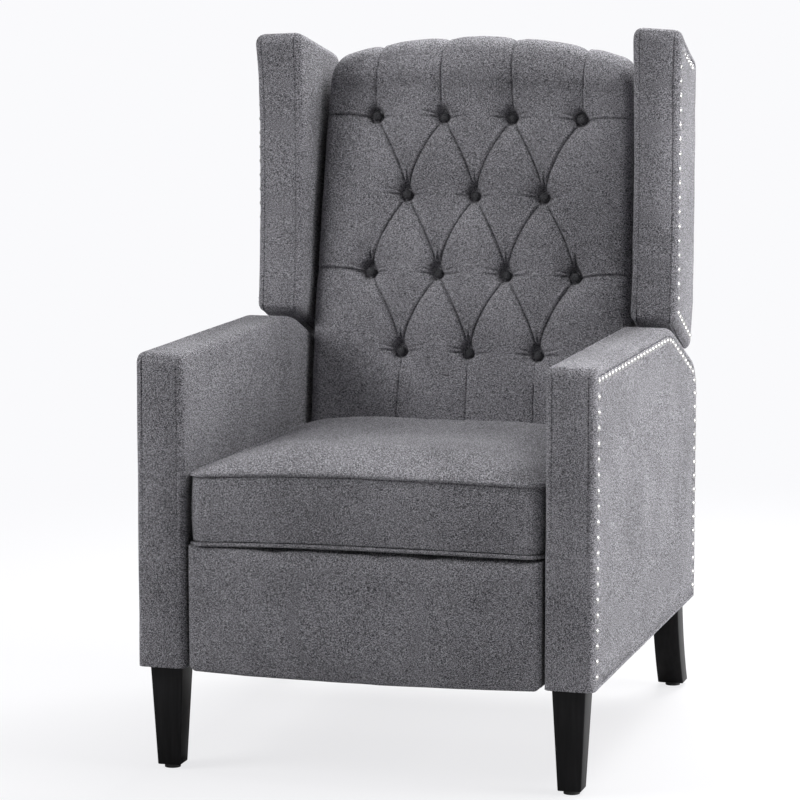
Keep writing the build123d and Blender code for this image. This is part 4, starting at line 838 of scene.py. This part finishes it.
def make_back_cushion():
    """The whole cover as one grid swept along the profile, dented, then drawn in at its sides."""
    path, even = back_profile()
    tangent = np.gradient(path, axis=0)
    tangent /= np.linalg.norm(tangent, axis=1)[:, None]
    inward = np.stack((tangent[:, 1], -tangent[:, 0]), 1)
    flat_half = BACK_HALF - BACK_FILLET
    front_x = np.linspace(-flat_half, flat_half, BACK_COLUMNS)
    turn = np.linspace(0, math.pi / 2, 9)[1:]
    corner_x = flat_half + BACK_FILLET * np.sin(turn)
    corner_in = BACK_FILLET * (1 - np.cos(turn))
    wall_in = np.linspace(BACK_FILLET, BACK_SIDE_FRONT + BACK_REST, 6)[1:]
    right_x = np.concatenate((corner_x, np.full(5, BACK_HALF)))
    right_in = np.concatenate((corner_in, wall_in))
    column_x = np.concatenate((-right_x[::-1], front_x, right_x))
    column_in = np.concatenate((right_in[::-1], np.zeros(len(front_x)), right_in))
    bow = (BACK_FRONT - BACK_SIDE_FRONT) * np.clip(np.abs(column_x) / flat_half, 0, 1) ** 2
    rows, columns = len(path), len(column_x)
    up = (even + (BACK_LOW_Z - BACK_PLANE_Z))[:, None] * np.ones((1, columns))
    x = np.ones((rows, 1)) * column_x[None, :]
    steps = np.hypot(np.diff(column_x), np.diff(column_in))
    side_reach = np.concatenate((np.zeros(1), np.cumsum(steps)))
    middle = side_reach[columns // 2]
    flat_x = np.ones((rows, 1)) * (side_reach - middle)[None, :]
    dents = back_dents(flat_x, up, up[-1, 0])
    fade = np.clip(1 - (np.abs(column_in) - BACK_FILLET) / 0.02, 0, 1)
    depth = (bow + column_in)[None, :] + dents * fade[None, :]
    place_y = path[:, 0][:, None] + inward[:, 0][:, None] * depth
    place_z = path[:, 1][:, None] + inward[:, 1][:, None] * depth
    lift = np.clip((place_z - 0.90) / (CREST_Z - 0.90), 0, 1)
    ahead = np.clip((ROLL_REAR_Y - place_y) / 0.03, 0, 1)
    drop = (CREST_Z - CREST_CORNER_Z) * (x / BACK_HALF) ** 2 * ahead
    place_z -= drop * lift**1.3
    draw = SIDE_DRAW * np.clip((place_z - SIDE_DRAW_Z) / SIDE_DRAW_RUN, 0, 1)
    draw += CREST_DRAW * np.clip((place_z - CREST_DRAW_Z) / (CREST_Z - CREST_DRAW_Z), 0, 1) ** 1.5
    outer = np.clip((np.abs(x) - DRAW_INNER_X) / (BACK_HALF - DRAW_INNER_X), 0, 1)
    x -= np.sign(x) * draw * outer**2 * (3 - 2 * outer)
    verts = np.stack((x, place_y, place_z), 2).reshape(-1, 3)
    faces = []
    for r in range(rows - 1):
        low, high = r * columns, (r + 1) * columns
        for c in range(columns):
            n = (c + 1) % columns
            faces.append((low + c, low + n, high + n, high + c))
    faces.append(tuple(range(columns))[::-1])
    faces.append(tuple((rows - 1) * columns + c for c in range(columns)))
    shape = bpy.data.meshes.new("back_cushion_cover")
    shape.from_pydata(verts.tolist(), [], faces)
    cushion = bpy.data.objects.new("back_cushion_cover", shape)
    bpy.context.scene.collection.objects.link(cushion)
    edit(cushion)
    bpy.ops.mesh.select_all(action="SELECT")
    bpy.ops.mesh.normals_make_consistent(inside=False)
    soften(cushion, 0.0008, 0.045)
    return cushion


back_cushion = make_back_cushion()
finish(back_cushion, linen, 75)
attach(back_cushion, "back")
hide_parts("back_cushion")

# ---- Buttons -----------------------------------------------------------------
# Metal shells covered in dark cloth, drawn down to the frame by twine through the foam.
CHARCOAL = (0.010, 0.010, 0.011, 1), (0.055, 0.055, 0.060, 1), (0.14, 0.14, 0.15, 1)
button_cloth = woven("charcoal_button_cloth", *CHARCOAL, thread=0.001)
BUTTON_RADIUS, BUTTON_HEIGHT = 0.0078, 0.0054
BUTTON_SHELL = 0.0081


def make_button():
    """A low dome with a faintly gathered rim, facing up."""
    deselect()
    bpy.ops.mesh.primitive_uv_sphere_add(segments=28, ring_count=14, radius=BUTTON_RADIUS)
    button = bpy.context.object
    edit(button)
    bpy.ops.mesh.select_all(action="SELECT")
    bpy.ops.transform.resize(value=(1, 1, 0.62))
    deselect()
    for vertex in button.data.vertices:
        around = math.hypot(vertex.co.x, vertex.co.y)
        if vertex.co.z > 0:
            vertex.co.z = BUTTON_HEIGHT * (1 - (around / BUTTON_SHELL) ** 2.8) ** 0.6
        angle = math.atan2(vertex.co.y, vertex.co.x)
        vertex.co.z += 0.00012 * math.cos(9 * angle) * (around / BUTTON_RADIUS) ** 2
    return button


pattern = make_button()
button_pieces = []
for x, up in buttons:
    copy = pattern.copy()
    copy.data = pattern.data.copy()
    bpy.context.scene.collection.objects.link(copy)
    seat_turn = Matrix.Rotation(math.pi / 2 - BACK_LEAN, 4, "X")
    copy.data.transform(Matrix.Translation(leaned(x, -0.0006, up)) @ seat_turn)
    button_pieces.append(copy)
bpy.data.objects.remove(pattern)
deselect()
for copy in button_pieces:
    copy.select_set(True)
bpy.context.view_layer.objects.active = button_pieces[0]
bpy.ops.object.join()
covered_buttons = bpy.context.object
covered_buttons.name = "covered_buttons"
finish(covered_buttons, button_cloth)
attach(covered_buttons, "back")
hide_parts("back_buttons")

# ---- Wings -------------------------------------------------------------------
# A plywood board on each side of the back, padded all round and covered like the arms; its front
# edge is hollow, its top and foot fall to the rear, and the cloth is gathered under its foot. The
# right wing is sewn a little higher than the left.
WING_LOW, WING_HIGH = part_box("right_wing_cover")
WING_TOP_FRONT_Z, WING_TOP_REAR_Z = 1.084, 1.030
WING_FOOT_FRONT_Z, WING_FOOT_REAR_Z = 0.630, 0.563
WING_SLOPE_Y = ARMS_FRONT_Y + 0.750
WING_CORNER_Z = 0.640
WING_INNER_X, WING_OUTER_X = 0.271, 0.345
WING_HOLLOW = 0.015
WING_TAPER = 0.009
WING_FLARE, WING_FLARE_Z = 0.005, 0.98
WING_INNER_SLANT, WING_SLANT_Z = 0.012, 0.75
WING_STRIP_SEAM_IN = 0.0110
WING_OUTER_SWELL, WING_INNER_SWELL, WING_FRONT_SWELL = 0.0018, 0.0030, 0.0045
WING_SWELL_RUN = 0.03
WING_DOME, WING_DOME_RUN = 0.003, 0.05
WING_FOOT_SWELL, WING_FOOT_RUN, WING_GATHERS = 0.007, 0.012, 0.0011
WING_STEP = 0.016
RIGHT_WING_RISE, LEFT_WING_DROP = 0.007, 0.0065


def make_wing():
    """The right wing's padding: a block cut to its outline, rounded, sewn, hollowed and swelled."""
    front, rear = WING_LOW.y, WING_HIGH.y
    depth = rear - front
    foot_depth = WING_SLOPE_Y - front
    low, high = (WING_INNER_X, front, WING_FOOT_REAR_Z), (WING_OUTER_X, rear, WING_TOP_FRONT_Z)
    wing = box_piece("right_wing_padding", low, high)
    edit(wing)
    cut((0, front, WING_TOP_FRONT_Z), (0, WING_TOP_FRONT_Z - WING_TOP_REAR_Z, depth), away=True)
    cut((0, front, WING_FOOT_FRONT_Z), (0, WING_FOOT_REAR_Z - WING_FOOT_FRONT_Z, -foot_depth), away=True)
    slope = (0, WING_CORNER_Z - WING_FOOT_REAR_Z, WING_SLOPE_Y - rear)
    cut((0, WING_SLOPE_Y, WING_FOOT_REAR_Z), slope, away=True)
    for y, z, radius, turn, segments in (
        (front, WING_TOP_FRONT_Z, 0.020, 105.4, 8),
        (rear, WING_TOP_REAR_Z, 0.024, 74.6, 7),
        (rear, WING_CORNER_Z, 0.024, 20, 3),
        (WING_SLOPE_Y, WING_FOOT_REAR_Z, 0.018, 91.7, 7),
        (front, WING_FOOT_FRONT_Z, 0.012, 68.3, 5),
    ):
        round_corner(wing, y, z, radius, math.radians(turn), segments)
    round_sides(wing, SIDE_ROUND, 5)
    sew_panel(wing)
    sew_strip(wing, (WING_INNER_X + WING_STRIP_SEAM_IN, WING_OUTER_X - WING_STRIP_SEAM_IN))
    slice_up(wing, 1, front, rear, WING_STEP)
    slice_up(wing, 2, WING_FOOT_REAR_Z, WING_TOP_FRONT_Z, WING_STEP)
    deselect()
    for vertex in wing.data.vertices:
        x, y, z = vertex.co
        back_share = (y - front) / depth
        fall = back_share * depth * (WING_FOOT_FRONT_Z - WING_FOOT_REAR_Z) / foot_depth
        foot = WING_FOOT_FRONT_Z - fall
        top = WING_TOP_FRONT_Z - back_share * (WING_TOP_FRONT_Z - WING_TOP_REAR_Z)
        height = (z - foot) / (top - foot)
        out_share = (x - WING_INNER_X) / (WING_OUTER_X - WING_INNER_X)
        across = (x - PADDING_MIDDLE_X) / PADDING_HALF
        vertex.co.x -= WING_TAPER * back_share * max(0, out_share)
        flare = max(0, (z - WING_FLARE_Z) / (WING_TOP_FRONT_Z - WING_FLARE_Z)) ** 2
        vertex.co.x += WING_FLARE * flare * max(0, out_share) * max(0, 1 - 1.5 * back_share)
        slant = min(max((z - WING_SLANT_Z) / 0.30, 0), 1)
        vertex.co.x -= WING_INNER_SLANT * back_share * slant * (1 - out_share)
        hollow = math.sin(math.pi * height) ** 0.8 if 0 < height < 1 else 0
        vertex.co.y += WING_HOLLOW * hollow * max(0, 1 - back_share * 1.6)
        inside = min(y - front, rear - y, z - foot, top - z)
        if out_share > 0.98 and inside > 0.03:
            vertex.co.x += WING_OUTER_SWELL * swelled(inside, 0.03, WING_SWELL_RUN)
        if out_share < 0.02 and inside > 0.015:
            vertex.co.x -= WING_INNER_SWELL * swelled(inside, 0.015, WING_SWELL_RUN)
        if y < front + 0.002:
            vertex.co.y -= WING_FRONT_SWELL * math.cos(across * math.pi / 2)
        if top - z < WING_DOME_RUN:
            dome = WING_DOME - 2 * WING_DOME * abs(across) ** 3 - 0.004 * out_share
            vertex.co.z += dome * (1 - (top - z) / WING_DOME_RUN)
        if z - foot < WING_FOOT_RUN:
            near = 1 - max(0, z - foot) / WING_FOOT_RUN
            sag = math.cos((x - PADDING_MIDDLE_X) / 0.039 * math.pi / 2)
            vertex.co.z -= WING_FOOT_SWELL * near * sag
            gathers = math.sin(x * 900 + 2 * math.sin(y * 60)) * math.exp(-back_share * 3)
            vertex.co.z += WING_GATHERS * near * gathers
    soften(wing, 0.0007, 0.05)
    finish(wing, linen)
    return wing


right_wing = make_wing()
left_wing = mirrored(right_wing, "left_wing_padding")
for vertex in right_wing.data.vertices:
    vertex.co.z += RIGHT_WING_RISE * max(0, (vertex.co.z - 0.80) / 0.28) ** 2
for vertex in left_wing.data.vertices:
    ahead = (WING_HIGH.y - vertex.co.y) / (WING_HIGH.y - WING_LOW.y)
    vertex.co.z -= LEFT_WING_DROP * ahead * max(0, (vertex.co.z - 0.80) / 0.28) ** 2
for side, wing in (("right", right_wing), ("left", left_wing)):
    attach(wing, "back")
    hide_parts(f"{side}_wing_cover")

# ---- Back frame and outside back ---------------------------------------------
# Plywood posts and hardwood rails behind the cushion, closed at the rear by a board covered in the
# same cloth, with a second covered board low down between the arms.
paint_nodes(frame_wood, "back_top_rail", "back_bottom_rail", "wing_boards")
paint_nodes(linen, "right_back_post", "left_back_post", "wing_cleats")


def covered_board(name, low, high, taper):
    """A thin board wrapped in cloth; taper = (half width of the foot, height) or None."""
    board = box_piece(name, low, high)
    edit(board)
    if taper:
        for side in (-1, 1):
            run = high[0] - taper[0]
            cut((side * taper[0], 0, low[2]), (side * (taper[1] - low[2]), 0, -run), away=True)
    pick(board, "EDGE", lambda e: e.calc_face_angle(0) > 0.03)
    bevel(0.0030, 3)
    slice_up(board, 0, low[0], high[0], 0.03)
    slice_up(board, 2, low[2], high[2], 0.03)
    soften(board, 0.0004, 0.06)
    finish(board, linen)
    return board


for name, node_name, body, taper in (
    ("outside_back", "back_outer_panel", "back", (0.251, 0.540)),
    ("outside_back_foot", "rear_lower_panel", "base", None),
):
    board = covered_board(name, *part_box(node_name), taper)
    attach(board, body)
    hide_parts(node_name)

# ---- Footrest ----------------------------------------------------------------
# A plywood board padded on its front with foam, bowed forward and covered; at rest it closes the
# chair's front below the seat, and its steel links carry it out and up.
PAD_LOW, PAD_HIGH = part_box("footrest_pad")
PAD_SIDE_Y = ARMS_FRONT_Y - 0.001
PAD_BOW = 0.024
PAD_CORNER, PAD_EDGE = 0.009, 0.008
PAD_STEP_X, PAD_STEP_Z = 0.528 / 36, 0.189 / 12
PAD_FRONT_SWELL, PAD_SIDE_SWELL, PAD_TOP_ARCH = 0.003, 0.0026, 0.006


def make_footrest():
    """The pad before it is stuffed: rounded at its front and lower corners, bowed forward."""
    pad = box_piece("footrest_cover", (PAD_LOW.x, PAD_SIDE_Y, PAD_LOW.z), PAD_HIGH)

    def lower_corner(edge):
        deep = abs(edge.verts[0].co.y - edge.verts[1].co.y) > 0.02
        return deep and middle_of(edge).z < PAD_LOW.z + 0.001

    edit(pad)
    pick(pad, "EDGE", lower_corner)
    bevel(PAD_CORNER, 6)
    pick(pad, "EDGE", lambda e: middle_of(e).y < PAD_SIDE_Y + 0.001 and e.calc_face_angle(0) > 1)
    bevel(PAD_EDGE, 5)
    slice_up(pad, 0, PAD_LOW.x, PAD_HIGH.x, PAD_STEP_X)
    slice_up(pad, 2, PAD_LOW.z, PAD_HIGH.z, PAD_STEP_Z)
    deselect()
    for vertex in pad.data.vertices:
        x, y, z = vertex.co
        middle = 1 - (x / PAD_HIGH.x) ** 2
        front_share = (PAD_HIGH.y - y) / (PAD_HIGH.y - PAD_SIDE_Y)
        vertex.co.y -= PAD_BOW * middle * max(0, min(1, front_share))
        edge = min(PAD_HIGH.x - abs(x), z - PAD_LOW.z, PAD_HIGH.z - z)
        if front_share > 0.95:
            vertex.co.y -= PAD_FRONT_SWELL * swelled(edge, 0, 0.03)
        vertex.co.z += PAD_TOP_ARCH * max(0, 1 - (PAD_HIGH.z - z) / 0.06) * middle
        if abs(x) > PAD_HIGH.x - 0.001:
            vertex.co.x += math.copysign(PAD_SIDE_SWELL, x)
    soften(pad, 0.0006, 0.06)
    finish(pad, linen)
    return pad


def held_footrest(vertex):
    """True for what the board, the side edges and the folded lower edge hold."""
    x, y, z = vertex.co
    return y > PAD_SIDE_Y + 0.004 or abs(x) > PAD_HIGH.x - 0.006 or z < PAD_LOW.z + 0.012


footrest = make_footrest()
stuff(footrest, held_footrest, spare=0.004, pressure=2.0, most=0.005)
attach(footrest, "footrest")
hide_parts("footrest_pad")
paint_nodes(frame_wood, "footrest_board")
paint_nodes(
    metal("dark_zinc_steel", (0.30, 0.30, 0.31, 1), 0.38), "footrest_rear_links",
    "rear_link_tube", "footrest_front_links", "front_link_tube", "footrest_brackets",
    "right_control_link", "left_control_link", "right_tilt_link", "left_tilt_link",
)
paint_nodes(zinc, "rear_link_rivets", "front_link_rivets", "bracket_rivets")

# ---- Floor, light and camera -------------------------------------------------
# A pale seamless studio sweep under four soft boxes, to the right, above, behind and at the left
# front, with a long lens at standing height.
BACKDROP = (0.956, 0.956, 0.975, 1)
HEART = (0, 0, 0.55)
deselect()
bpy.ops.mesh.primitive_plane_add(size=60, location=(0, 0, 0))
floor = bpy.context.object
floor.name = "studio_floor"
floor_look, shader, place, node = material("pale_floor", roughness=0.9)
shader.inputs["Specular IOR Level"].default_value = 0.0
paper = node("Emission", {"Color": BACKDROP, "Strength": 1.0})[0]
ray = node("LightPath")
away = node("VectorMath", {0: place}, operation="LENGTH")["Value"]
fade = node("MapRange", {0: away, 1: 0.9, 2: 2.6, 3: 0.80, 4: 1.0}, interpolation_type="SMOOTHSTEP")
seen = node("Math", {0: ray["Is Camera Ray"], 1: fade[0]}, operation="MULTIPLY")[0]
tone = ramp(node, ray["Is Camera Ray"], [(0.0, (0.50, 0.50, 0.505, 1)), (1.0, (0.88, 0.88, 0.885, 1))])
join(tone, shader.inputs["Base Color"])
mixed = node("MixShader", {0: seen, 1: shader.outputs[0], 2: paper})[0]
join(mixed, floor_look.node_tree.nodes["Material Output"].inputs["Surface"])
floor.data.materials.append(floor_look)

world = bpy.data.worlds.new("studio")
bpy.context.scene.world = world
world.use_nodes = True
world.node_tree.nodes.clear()
node = node_maker(world.node_tree)
ray = node("LightPath")
shown = node("Math", {0: ray["Is Camera Ray"], 1: ray["Is Glossy Ray"]}, operation="MAXIMUM")[0]
fill_sky = node("Background", {"Color": (0.97, 0.98, 1.0, 1), "Strength": 0.10})[0]
seen_sky = node("Background", {"Color": BACKDROP})[0]
node("OutputWorld", {0: node("MixShader", {0: shown, 1: fill_sky, 2: seen_sky})[0]})


def softbox(name, place, size, power):
    """A square soft light at a place, turned to the chair's middle."""
    light = bpy.data.lights.new(name, "AREA")
    light.shape = "SQUARE"
    light.size = size
    light.energy = power
    lamp = bpy.data.objects.new(name, light)
    bpy.context.scene.collection.objects.link(lamp)
    lamp.location = place
    lamp.rotation_euler = (Vector(HEART) - Vector(place)).to_track_quat("-Z", "Y").to_euler()


softbox("right_side", (3.6, 0.0, 1.1), size=1.6, power=82)
softbox("top_right", (1.6, -0.3, 3.4), size=1.6, power=48)
softbox("top_rear", (0.5, 2.5, 3.0), size=2.0, power=176)
softbox("left_front", (-2.2, -1.6, 2.2), size=1.2, power=50)

camera_data = bpy.data.cameras.new("camera")
camera_data.sensor_width = 36
camera_data.lens = 157.57
camera_data.clip_end = 100
camera = bpy.data.objects.new("camera", camera_data)
bpy.context.scene.collection.objects.link(camera)
camera.location = (1.3903, -5.1847, 1.2567)
camera.rotation_euler = (math.radians(90 - 7.857), 0, math.radians(15.544))
bpy.context.scene.camera = camera
bpy.context.scene.view_settings.view_transform = "Standard"
